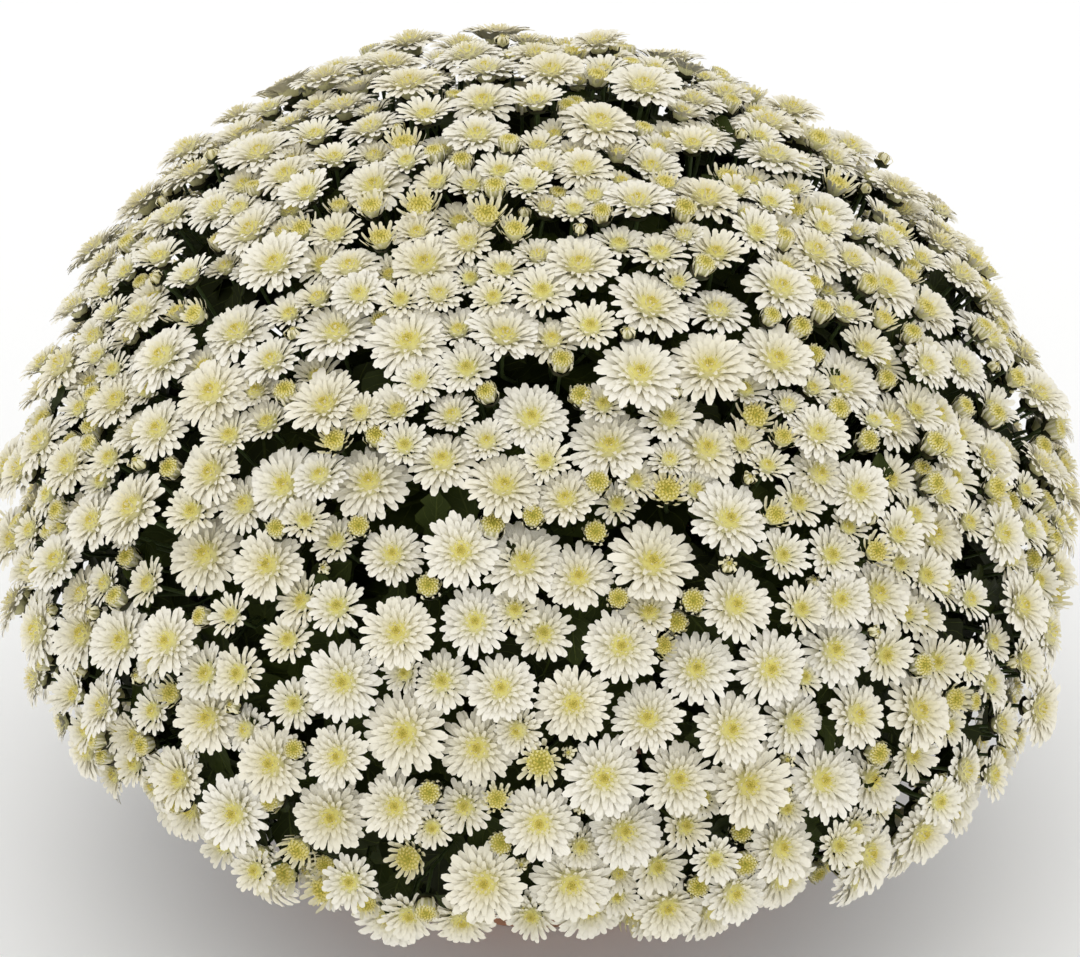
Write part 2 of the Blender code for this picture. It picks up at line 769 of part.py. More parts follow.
def sector_shell(members, roots, ridge, cells):
    """Closed shell of one leafy stem: ridges and pits outside, smooth inside, and walls where it ends."""
    numbers = sorted({n for m in members for n in cells[m]})
    ways = []
    for n in numbers:
        own = [m for m in members if n in cells[m]]
        whole = sum(n in cell for cell in cells)
        way = ridge[n]
        if len(own) < whole:
            pull = unit(unit(roots[own].mean(0)) - way)
            way = unit(way + pull * SECTOR_GAP / DOME_RADIUS)
        ways.append(way)
    ways = np.array(ways)
    place = {n: i for i, n in enumerate(numbers)}
    low = angle_down(ways) > LOWER_EDGE - 0.02
    outer = dome_point(ways, np.where(low, LOWER_EDGE_DEPTH, RIDGE_DEPTH))
    inner = dome_point(ways, np.full(len(ways), INNER_DEPTH))
    pits = dome_point(roots[members], np.full(len(members), ROOT_DEPTH + SEAT_GAP))
    domes = dome_point(roots[members], np.full(len(members), INNER_DEPTH))
    points = np.vstack([outer, inner, pits, domes])
    total = len(numbers)
    faces, edges = [], set()
    for i, m in enumerate(members):
        cell = [place[n] for n in cells[m]]
        pit, back = 2 * total + i, 2 * total + len(members) + i
        for a, b in zip(cell, cell[1:] + cell[:1]):
            faces += [(pit, a, b), (back, b + total, a + total)]
            edges.add((a, b))
    for a, b in sorted(edges):
        if (b, a) not in edges:
            faces += [(b, a, a + total), (b, a + total, b + total)]
    return points, faces


def tube(path, radii, sides):
    """Points and faces of a round bar along a path, with closed ends. Each ring stands square to the path."""
    path = np.asarray(path, float)
    along = unit(np.gradient(path, axis=0))
    helper = np.array([0, 0, 1.0]) if abs(along[0][2]) < 0.9 else np.array([1.0, 0, 0])
    first = unit(np.cross(helper, along[0]))
    points, faces = [], []
    for at, way, radius in zip(path, along, radii):
        first = unit(first - way * (first @ way))
        second = np.cross(way, first)
        turn = np.arange(sides) * 2 * math.pi / sides
        points += list(at + radius * (np.cos(turn)[:, None] * first + np.sin(turn)[:, None] * second))
    for ring in range(len(path) - 1):
        for i in range(sides):
            j = (i + 1) % sides
            a, b = ring * sides + i, ring * sides + j
            faces.append((a, b, b + sides, a + sides))
    last = (len(path) - 1) * sides
    faces += [tuple(reversed(range(sides))), tuple(range(last, last + sides))]
    return points, faces


def leaf(base, along, across, length, half_width):
    """A lobed leaf: two lobes a side and a pointed tip, swollen along the rib, with a sharp outline."""
    normal = np.cross(along, across)
    outline = [*LEAF_OUTLINE, *((share, -side) for share, side in LEAF_OUTLINE[-2::-1])]
    sag = normal * half_width * LEAF_SAG
    points = [base + along * length * share + across * half_width * side for share, side in outline]
    points = [point + sag * abs(side) for point, (_, side) in zip(points, outline)]
    rib = base + along * length / 2
    points += [rib + normal * LEAF_THICKNESS / 2, rib - normal * LEAF_THICKNESS / 2]
    count = len(outline)
    front, back = count, count + 1
    faces = [(i, (i + 1) % count, front) for i in range(count)]
    faces += [((i + 1) % count, i, back) for i in range(count)]
    return points, faces


def united(name, pieces, material, parent):
    """One object from several closed shapes, joined to the first by a Boolean union."""
    base = mesh_object(name, *pieces[0], material, parent)
    helpers = bpy.data.collections.new(name + "_joined")
    bpy.context.scene.collection.children.link(helpers)
    for number, (points, faces) in enumerate(pieces[1:]):
        part = mesh_object(f"{name}_piece_{number}", points, faces, material)
        bpy.context.scene.collection.objects.unlink(part)
        helpers.objects.link(part)
    union = base.modifiers.new("union", "BOOLEAN")
    union.operation = "UNION"
    union.operand_type = "COLLECTION"
    union.solver = "EXACT"
    union.collection = helpers
    bpy.context.view_layer.update()
    evaluated = base.evaluated_get(bpy.context.evaluated_depsgraph_get())
    joined = bpy.data.meshes.new_from_object(evaluated)
    base.modifiers.clear()
    base.data = joined
    for part in list(helpers.objects):
        bpy.data.objects.remove(part)
    bpy.data.collections.remove(helpers)


def turned(profile, sides):
    """Points and faces of a shape turned round the upright axis. The profile runs from its axis foot outwards
    and up, over the rim and back to the axis; its first and last points lie on the axis."""
    points = [(0, 0, profile[0][1])]
    turn = np.arange(sides) * 2 * math.pi / sides
    for radius, height in profile[1:-1]:
        points += [(radius * math.cos(t), radius * math.sin(t), height) for t in turn]
    points.append((0, 0, profile[-1][1]))
    faces = []
    rings = len(profile) - 2
    for i in range(sides):
        j = (i + 1) % sides
        faces.append((0, 1 + j, 1 + i))
        for ring in range(rings - 1):
            a, b = 1 + ring * sides + i, 1 + ring * sides + j
            faces.append((a, b, b + sides, a + sides))
        last = 1 + (rings - 1) * sides
        faces.append((last + i, last + j, len(points) - 1))
    return points, faces


def pot_inner_radius(height):
    """The radius of the pot's inner wall at a height."""
    share = (height - POT_FLOOR) / (POT_HEIGHT - POT_FLOOR)
    return POT_BASE_RADIUS - POT_WALL + share * (POT_RIM_RADIUS - RIM_STEP - POT_BASE_RADIUS)


def build_pot(material, parent):
    """A plain tapered pot with a thicker band at the rim, a rolled lip and drain holes through its floor."""
    band = POT_HEIGHT - RIM_BAND
    under_band = POT_BASE_RADIUS + (POT_RIM_RADIUS - RIM_STEP - POT_BASE_RADIUS) * band / POT_HEIGHT
    profile = [
        (0, 0),
        (POT_BASE_RADIUS, 0),
        (under_band, band),
        (POT_RIM_RADIUS, band + LIP / 3),
        (POT_RIM_RADIUS, POT_HEIGHT - LIP),
        (POT_RIM_RADIUS - LIP, POT_HEIGHT),
        (pot_inner_radius(POT_HEIGHT) + LIP / 3, POT_HEIGHT),
        (pot_inner_radius(POT_HEIGHT - LIP), POT_HEIGHT - LIP),
        (pot_inner_radius(POT_FLOOR), POT_FLOOR),
        (0, POT_FLOOR),
    ]
    pot = mesh_object("pot", *turned(profile, POT_SIDES), material, parent)
    for number in range(DRAIN_HOLES):
        angle = (number + 0.5) * 2 * math.pi / DRAIN_HOLES
        x, y = DRAIN_CIRCLE * math.cos(angle), DRAIN_CIRCLE * math.sin(angle)
        bpy.ops.mesh.primitive_cylinder_add(
            vertices=DRAIN_SIDES, radius=DRAIN_RADIUS, depth=4 * POT_FLOOR, location=(x, y, 0)
        )
        drill = bpy.context.object
        drill.name = f"drain_drill_{number}"
        drill.hide_render = True
        drill.display_type = "WIRE"
        drill.parent = parent
        cut = pot.modifiers.new(f"drain_{number}", "BOOLEAN")
        cut.operation = "DIFFERENCE"
        cut.solver = "EXACT"
        cut.object = drill
    pot.data.shade_smooth()
    pot.data.set_sharp_from_angle(angle=math.radians(35))


def build_soil(material, parent):
    """Compost that fills the pot to below its rim: a crumbly mound with a plain hole for the crown."""
    sides = SOIL_SIDES
    level = POT_HEIGHT - SOIL_BELOW_RIM
    hole = CROWN_RADIUS + CROWN_HOLE_GAP
    floor = POT_FLOOR + CLEARANCE
    rings = [
        (pot_inner_radius(floor) - SOIL_GAP, floor, 0),
        (pot_inner_radius(level) - SOIL_GAP, level, 0),
        (SOIL_RINGS[0], level + SOIL_MOUND / 2, SOIL_LUMPS),
        (SOIL_RINGS[1], level + SOIL_MOUND, SOIL_LUMPS),
        (hole, level + SOIL_MOUND, 0),
        (hole, level - CROWN_IN_SOIL, 0),
    ]
    rng = np.random.default_rng(SEED)
    points = [(0, 0, floor)]
    turn = np.arange(sides) * 2 * math.pi / sides
    for radius, height, crumble in rings:
        lumps = rng.uniform(-1, 1, sides) * crumble
        ring = np.stack([radius * np.cos(turn), radius * np.sin(turn), height + lumps], 1)
        points += ring.tolist()
    points.append((0, 0, level - CROWN_IN_SOIL))
    faces = []
    for i in range(sides):
        j = (i + 1) % sides
        faces.append((0, 1 + j, 1 + i))
        for ring in range(len(rings) - 1):
            a, b = 1 + ring * sides + i, 1 + ring * sides + j
            faces += [(a, b, b + sides), (a, b + sides, a + sides)]
        last = 1 + (len(rings) - 1) * sides
        faces.append((last + i, last + j, len(points) - 1))
    mesh_object("soil", points, faces, material, parent)


def build_crown(material, parent):
    """The woody foot of the plant, a round stump from which the leafy stems spring."""
    level = POT_HEIGHT - SOIL_BELOW_RIM
    foot, top = level - CROWN_IN_SOIL + CLEARANCE, level + CROWN_ABOVE_SOIL
    path = [(0, 0, foot), (0, 0, top - CROWN_RADIUS / 2), (0, 0, top)]
    radii = [CROWN_RADIUS * 0.94, CROWN_RADIUS, CROWN_RADIUS * 0.7]
    mesh_object("crown", *tube(path, radii, CROWN_SIDES), material, parent)


def stem_path(number, target):
    """A leafy stem's line from the crown's side, over the pot's rim, to the inside of its shell."""
    angle = (number + 0.5) * 2 * math.pi / BUSH_SECTORS - math.pi
    out = np.array([math.cos(angle), math.sin(angle), 0])
    level = POT_HEIGHT - SOIL_BELOW_RIM
    height = level + CROWN_ABOVE_SOIL * STEM_FOOT_SHARES[number % 2]
    foot = out * (CROWN_RADIUS + CLEARANCE) + np.array([0, 0, height])
    start = foot + out * STEM_RADIUS
    knee = out * STEM_KNEE_OUT + np.array([0, 0, height + STEM_KNEE_UP])
    share = np.linspace(0, 1, 5)[:, None]
    return np.vstack([foot, (1 - share) ** 2 * start + 2 * share * (1 - share) * knee + share**2 * target])


def stem_target(ways):
    """Where a leafy stem enters its shell: behind that root which is nearest to the dome's shoulder."""
    chosen = ways[np.abs(angle_down(ways) - STEM_ENTRY_ANGLE).argmin()]
    return dome_point(chosen, np.array(INNER_DEPTH - STEM_ENTRY_SUNK))


class Bush:
    """The leafy stems, each a list of closed shapes that starts with its shell, and the sprays round them."""

    def __init__(self, stems, sprays):
        self.stems = stems
        self.trees = [[tree_of(shape) for shape in pieces] for pieces in stems]
        self.sprays = [tree_of(shape) for shape in sprays]

    def root_at(self, way, sunk):
        """The leafy stem that lies outermost in that direction, and the point sunk below its surface."""
        start = Vector(CENTRE + way * 2 * DOME_RADIUS)
        hits = [trees[0].ray_cast(start, Vector(-way)) for trees in self.trees]
        distances = [hit[3] if hit[0] else math.inf for hit in hits]
        nearest = int(np.argmin(distances))
        if math.isinf(distances[nearest]):
            return None, None
        return nearest, np.array(hits[nearest][0]) - way * sunk

    def add_if_clear(self, stem, shape):
        """Adds a leaf to its stem, if it touches no spray and no other stem, with a little room to spare."""
        points, faces = shape
        middle = np.mean(points, axis=0)
        side = unit(np.cross(points[1] - points[0], points[-3] - points[0])) * LEAF_ROOM
        swollen = [middle + (p - middle) * LEAF_SWELL for p in points]
        variants = [tree_of(([p + move for p in swollen], faces)) for move in (-side, 0 * side, side)]
        others = self.sprays + [tree for i, trees in enumerate(self.trees) if i != stem for tree in trees]
        if any(variant.overlap(other) for variant in variants for other in others):
            return False
        self.stems[stem].append(shape)
        self.trees[stem].append(variants[1])
        return True


def tree_of(shape):
    """A search tree over a shape's faces."""
    points, faces = shape
    return BVHTree.FromPolygons([Vector(p) for p in points], faces)


def gap_leaf(rng, clear, middle, base):
    """A leaf that stands in an open place between sprays, narrow enough to touch none of them."""
    first, second = (a[0] for a in across_axes(middle[None]))
    turn = rng.uniform(0, math.pi)
    across = math.cos(turn) * first + math.sin(turn) * second
    length = np.linalg.norm(dome_point(middle) - base) - GAP_LEAF_TIP_DEPTH
    return leaf(base, middle, across, length, min(clear - GAP_LEAF_MARGIN, WIDEST_GAP_LEAF))


def skirt_leaf(rng, number, bush):
    """A leaf below the lowest blooms, hanging out and down from the bush's lower edge."""
    azimuth = (number + rng.uniform(-0.2, 0.2)) * 2 * math.pi / SKIRT_LEAVES
    inner_row = int(number) % 2
    sunk = INNER_SKIRT_SUNK if inner_row else OUTER_SKIRT_SUNK
    stem, base = bush.root_at(polar(SKIRT_ANGLE, azimuth), sunk)
    out = np.array([math.cos(azimuth), math.sin(azimuth), 0])
    lean = rng.uniform(*(INNER_SKIRT_LEAN if inner_row else OUTER_SKIRT_LEAN))
    along = unit(out * lean + np.array([0, 0, -1.0]))
    side = np.array([-out[1], out[0], 0])
    twist = rng.uniform(-0.5, 0.5)
    across = unit(side * math.cos(twist) + np.cross(along, side) * math.sin(twist))
    length = SKIRT_LEAF_LENGTH * rng.uniform(0.85, 1.1)
    return stem, leaf(base, along, across, length, SKIRT_LEAF_HALF_WIDTH)


def clear_scene():
    """Removes what the startup file holds."""
    for thing in list(bpy.data.objects):
        bpy.data.objects.remove(thing)


def build_sprays(dome, material, parent):
    """The white sprays. Returns their shapes, their roots' directions, and their triangles of the map."""
    sprays, roots, taken = [], [], []
    for number in range(SPRAYS):
        points, faces, root, own = dome.spray(number)
        mesh_object(f"spray_{number + 1:02d}", points, faces, material, parent)
        sprays.append((points, faces))
        roots.append(root)
        taken += own
    return sprays, np.array(roots), taken


def stems_and_shells(roots):
    """The bare leafy stems: for each, its shell under the sprays, and the stem that carries it."""
    ridge, cells = bush_map(roots)
    sector = sector_of_each(roots, cells)
    stems = []
    for number in range(BUSH_SECTORS):
        members = np.flatnonzero(sector == number)
        path = stem_path(number, stem_target(roots[members]))
        radii = np.linspace(STEM_RADIUS, STEM_RADIUS * STEM_TIP_SHARE, len(path))
        stems.append([sector_shell(members, roots, ridge, cells), tube(path, radii, STEM_SIDES)])
    return stems


def add_leaves(bush, gaps):
    """Leaves in the open places between sprays, widest first, and two rows of them round the lower edge."""
    rng = np.random.default_rng(SEED + 1)
    placed = []
    for clear, middle in gaps:
        if len(placed) == GAP_LEAVES or clear < NARROWEST_GAP:
            break
        if all(middle @ other < math.cos(GAP_LEAF_SPACING) for other in placed):
            stem, base = bush.root_at(middle, GAP_LEAF_SUNK)
            if stem is not None and bush.add_if_clear(stem, gap_leaf(rng, clear, middle, base)):
                placed.append(middle)
    for number in range(SKIRT_LEAVES):
        for attempt in range(SKIRT_TRIES):
            stem, shape = skirt_leaf(rng, number + attempt / 10, bush)
            if bush.add_if_clear(stem, shape):
                break


def main():
    """Builds every piece of the plant and its pot."""
    clear_scene()
    plant = bpy.data.objects.new("pot_chrysanthemum", None)
    bpy.context.scene.collection.objects.link(plant)
    build_pot(finish("pot", (0.52, 0.24, 0.13), 0.75), plant)
    build_soil(finish("compost", (0.060, 0.040, 0.028), 0.95), plant)
    build_crown(finish("stem_wood", (0.23, 0.17, 0.09), 0.80), plant)
    dome = DomeMap(Flowers())
    sprays, roots, taken = build_sprays(dome, finish("petal", (0.93, 0.92, 0.85), 0.55), plant)
    bush = Bush(stems_and_shells(roots), sprays)
    add_leaves(bush, dome.gaps(taken))
    green = finish("leaf", (0.055, 0.120, 0.030), 0.55)
    for number, pieces in enumerate(bush.stems):
        united(f"leafy_stem_{number + 1}", pieces, green, plant)


main()
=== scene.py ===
"""The looks of a pot chrysanthemum in full bloom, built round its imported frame.

Metres, +Z up. The flower heads stand where the frame's sprays have them, by the same seeded rule, with
lower blooms, half-open heads, buttons and buds between them. Every head is petals, florets, a green cup and
a stalk, worked out with numpy as surfaces over two parameters.
"""

import logging
import math
from collections.abc import Callable
from dataclasses import dataclass, field
from enum import IntEnum

import bpy
import numpy as np
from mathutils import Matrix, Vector

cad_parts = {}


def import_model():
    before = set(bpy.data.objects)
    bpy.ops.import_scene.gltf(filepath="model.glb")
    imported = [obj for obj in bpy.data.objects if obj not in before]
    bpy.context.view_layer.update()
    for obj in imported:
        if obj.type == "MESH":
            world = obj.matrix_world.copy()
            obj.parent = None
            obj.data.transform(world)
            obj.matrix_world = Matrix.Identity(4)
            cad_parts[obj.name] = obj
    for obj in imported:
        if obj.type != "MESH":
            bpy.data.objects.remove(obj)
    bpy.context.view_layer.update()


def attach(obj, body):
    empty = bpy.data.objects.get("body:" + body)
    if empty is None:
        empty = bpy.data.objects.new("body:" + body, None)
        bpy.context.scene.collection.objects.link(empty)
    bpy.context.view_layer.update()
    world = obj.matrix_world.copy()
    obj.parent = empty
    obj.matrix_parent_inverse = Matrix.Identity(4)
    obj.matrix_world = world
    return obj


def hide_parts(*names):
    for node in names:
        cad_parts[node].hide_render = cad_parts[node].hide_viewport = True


LOG = logging.getLogger("pot_chrysanthemum")
BODY = "root"
GOLDEN_ANGLE = math.pi * (3 - math.sqrt(5))
NEARLY_UP = 0.9
SHARP_ANGLE = math.radians(40)
FAR = 9.0
UP = np.array([0.0, 0.0, 1.0])
BLACK, WHITE = (0.0, 0.0, 0.0), (1.0, 1.0, 1.0)

Array = np.ndarray
Colour = tuple[float, float, float]
Place = tuple[float, float, float]
Pair = tuple[float, float]
Stops = tuple[tuple[float, Colour], ...]
Spacing = Callable[[Array, Array], Array | float]
Socket = bpy.types.NodeSocket
Tree = bpy.types.NodeTree
Input = Socket | float | Colour


def unit(vectors: Array) -> Array:
    """The vectors, each made one long.

    Args:
        vectors: vectors along the last axis.

    Returns:
        Vectors of the same shape.
    """
    vectors = np.asarray(vectors, float)
    return vectors / np.maximum(np.linalg.norm(vectors, axis=-1, keepdims=True), 1e-12)


def across_axes(direction: Array) -> tuple[Array, Array]:
    """Two directions across each given one, at right angles to it and to each other.

    Args:
        direction: unit directions, shape (n, 3).

    Returns:
        Two arrays of unit directions.
    """
    helper = np.where(np.abs(direction[:, 2:]) < NEARLY_UP, [[0, 0, 1.0]], [[1.0, 0, 0]])
    first = unit(np.cross(helper, direction))
    return first, np.cross(direction, first)


def polar(angle_down: Array, azimuth: Array) -> Array:
    """Unit directions from the angle down from straight up and the angle round."""
    flat = np.sin(angle_down)
    return np.stack([flat * np.cos(azimuth), flat * np.sin(azimuth), np.cos(angle_down)], -1)


def ring_angles(sides: int) -> Array:
    """The angles of a ring's points, even all the way round."""
    return np.arange(sides) * 2 * math.pi / sides


def smooth(value: Array, low: float, high: float) -> Array:
    """A smooth step from 0 at low to 1 at high.

    Args:
        value: what is compared.
        low: where the step starts.
        high: where it ends.

    Returns:
        Values from 0 to 1.
    """
    share = np.clip((value - low) / (high - low), 0, 1)
    return share * share * (3 - 2 * share)


@dataclass(frozen=True)
class Dome:
    """The plant's dome: a superellipse turned round the upright axis, with a flatter skirt below."""

    radius: float = 0.300
    rise: float = 0.286
    skirt: float = 0.134
    equator: float = 0.200
    top_power: float = 2.0
    skirt_power: float = 2.5

    @property
    def centre(self) -> Array:
        """The dome's centre, on the pot's axis."""
        return np.array([0.0, 0.0, self.equator])

    def distance(self, direction: Array) -> Array:
        """How far the bloom surface lies from the centre, where (flat/radius)^p + (up/rise)^p = 1.

        Args:
            direction: unit directions.

        Returns:
            Distances in metres.
        """
        flat = np.hypot(direction[..., 0], direction[..., 1])
        up = direction[..., 2]
        rise = np.where(up > 0, self.rise, self.skirt)
        power = np.where(up > 0, self.top_power, self.skirt_power)
        return ((flat / self.radius) ** power + (np.abs(up) / rise) ** power) ** (-1 / power)

    def point(self, direction: Array, depth: Array | float = 0.0) -> Array:
        """The point in that direction, depth below the bloom surface along the line to the centre."""
        return self.centre + direction * (self.distance(direction) - depth)[..., None]

    def normal(self, direction: Array) -> Array:
        """The outward normal of the bloom surface: the gradient of its superellipse.

        Args:
            direction: unit directions, shape (n, 3).

        Returns:
            Unit normals, shape (n, 3).
        """
        at = direction * self.distance(direction)[..., None]
        flat = np.maximum(np.hypot(at[:, 0], at[:, 1]), 1e-6)
        rise = np.where(at[:, 2] > 0, self.rise, self.skirt)
        power = np.where(at[:, 2] > 0, self.top_power, self.skirt_power)
        outward = flat ** (power - 1) / self.radius**power
        upward = np.sign(at[:, 2]) * np.abs(at[:, 2]) ** (power - 1) / rise**power
        return unit(np.stack([at[:, 0] / flat * outward, at[:, 1] / flat * outward, upward], 1))


@dataclass(frozen=True)
class Picture:
    """The camera that took the picture, and the picture's frame."""

    width: int = 1080
    height: int = 957
    metres_per_pixel: float = 0.0005725
    distance: float = 2.23
    elevation: float = math.radians(30)
    centre_pixel: tuple[int, int] = (540, 544)
    sensor: float = 36.0
    search: Pair = (-0.4, 0.3)
    search_steps: int = 1401

    def axes(self) -> tuple[Array, Array, Array]:
        """The camera's own axes.

        Returns:
            Its right, its up, and the direction back from what it looks at.
        """
        back = np.array([0, -math.cos(self.elevation), math.sin(self.elevation)])
        up = np.array([0, math.sin(self.elevation), math.cos(self.elevation)])
        return np.array([1.0, 0, 0]), up, back

    def eye(self, dome: Dome) -> Array:
        """Where the camera stands.

        Args:
            dome: the bloom surface, whose centre it looks towards.

        Returns:
            A point in metres.
        """
        _, up, back = self.axes()
        rise = (self.centre_pixel[1] - self.height / 2) * self.metres_per_pixel
        return dome.centre + back * self.distance + up * rise

    def seen_at(self, dome: Dome, across: float, down: float) -> Array:
        """The point of the bloom surface that a pixel shows, or the nearest one to its line of sight.

        Args:
            dome: the bloom surface.
            across: pixels from the left.
            down: pixels from the top.

        Returns:
            A point in metres.
        """
        right, up, back = self.axes()
        eye = self.eye(dome)
        aside = (across - self.width / 2) * self.metres_per_pixel
        above = (self.height / 2 - down) * self.metres_per_pixel
        look = unit(right * aside + up * above - back * self.distance)
        steps = np.linspace(*(self.distance + end for end in self.search), self.search_steps)
        points = eye + look * steps[:, None]
        away = points - dome.centre
        excess = np.linalg.norm(away, axis=1) - dome.distance(unit(away))
        inside = np.flatnonzero(excess < 0)
        return points[inside[0]] if len(inside) else points[np.argmin(excess)]

    def camera(self, dome: Dome) -> bpy.types.Object:
        """Makes the camera and gives it to the scene.

        Args:
            dome: the bloom surface.

        Returns:
            The camera.
        """
        data = bpy.data.cameras.new("camera")
        data.sensor_width = self.sensor
        data.lens = self.sensor * self.distance / (self.width * self.metres_per_pixel)
        made = bpy.data.objects.new("camera", data)
        _, _, back = self.axes()
        made.location = self.eye(dome)
        made.rotation_mode = "QUATERNION"
        made.rotation_quaternion = (-Vector(back)).to_track_quat("-Z", "Y")
        bpy.context.scene.collection.objects.link(made)
        bpy.context.scene.camera = made
        return made


class Stage(IntEnum):
    """How far a flower head has opened."""

    BUD = 0
    BUTTON = 1
    HALF = 2
    OPEN = 3
    FULL = 4


@dataclass(frozen=True)
class HeadForm:
    """The build of a head at one stage. Lengths are shares of the head's radius, unless they say metres."""

    petals: tuple[int, int]
    florets: int
    rim: float
    rim_spread: float
    crown: float
    tip_radius: float
    crowding: float
    disc: float
    depth: float
    cup: float
    cup_metres: float
    bulge: Pair
    half_width: float
    tone: Pair


FORMS = {
    Stage.FULL: HeadForm(
        petals=(68, 94), florets=22, rim=-0.07, rim_spread=0.08, crown=0.26, tip_radius=1.0,
        crowding=1.65, disc=0.11, depth=0.42, cup=0, cup_metres=0.0060,
        bulge=(-0.24, -0.08), half_width=0.101, tone=(0.00, 0.20),
    ),
    Stage.OPEN: HeadForm(
        petals=(48, 64), florets=30, rim=0.02, rim_spread=0.09, crown=0.14, tip_radius=1.0,
        crowding=1.55, disc=0.16, depth=0.44, cup=0, cup_metres=0.0056,
        bulge=(-0.18, -0.02), half_width=0.105, tone=(0.01, 0.25),
    ),
    Stage.HALF: HeadForm(
        petals=(28, 34), florets=40, rim=0.22, rim_spread=0.10, crown=0.16, tip_radius=1.0,
        crowding=1.0, disc=0.50, depth=0.60, cup=0, cup_metres=0.0050,
        bulge=(0.04, 0.12), half_width=0.105, tone=(0.12, 0.55),
    ),
    Stage.BUTTON: HeadForm(
        petals=(28, 30), florets=48, rim=0.24, rim_spread=0.05, crown=0.30, tip_radius=0.98,
        crowding=0.6, disc=0.78, depth=0.95, cup=0.84, cup_metres=0,
        bulge=(0.12, 0.06), half_width=0.125, tone=(0.12, 0.25),
    ),
    Stage.BUD: HeadForm(
        petals=(14, 16), florets=8, rim=0.42, rim_spread=0.04, crown=0.50, tip_radius=0.56,
        crowding=0.8, disc=0.28, depth=0.90, cup=0.98, cup_metres=0,
        bulge=(0.34, 0.20), half_width=0.24, tone=(0.22, 0.46),
    ),
}


@dataclass(frozen=True)
class PetalRows:
    """Petals that share a mesh: how far inwards they start and end, from 0 at the rim to 1 in the heart, the
    shares of their length that have points, and the share of the half width at each."""

    start: float
    end: float
    stations: tuple[float, ...]
    widths: tuple[float, ...]


WIDE_ROWS = (
    PetalRows(0.0, 0.38, (0.0, 0.50, 0.86, 1.0), (0.80, 1.00, 0.96, 0.46)),
    PetalRows(0.38, 0.78, (0.0, 0.72, 1.0), (0.84, 1.00, 0.52)),
    PetalRows(0.78, 1.1, (0.0, 1.0), (1.00, 0.58)),
)
SMALL_ROWS = (PetalRows(0.0, 1.1, (0.0, 0.62, 1.0), (0.80, 1.00, 0.50)),)


@dataclass
class Heads:
    """Every flower head as arrays: landmarks first, then the other blooms, then the frame's buds, then the
    scene's own small heads."""

    face: Array
    axis: Array
    radius: Array
    stage: Array
    spray: Array
    turn: Array
    rise: Array
    tint: Array
    lift: Array

    def form(self, name: str) -> Array:
        """One number of each head's form."""
        table = np.array([getattr(FORMS[stage], name) for stage in sorted(FORMS)], float)
        return table[self.stage]

    def cup_radius(self) -> Array:
        """The radius of each head's green cup, in metres."""
        return np.maximum(self.form("cup") * self.radius, self.form("cup_metres"))


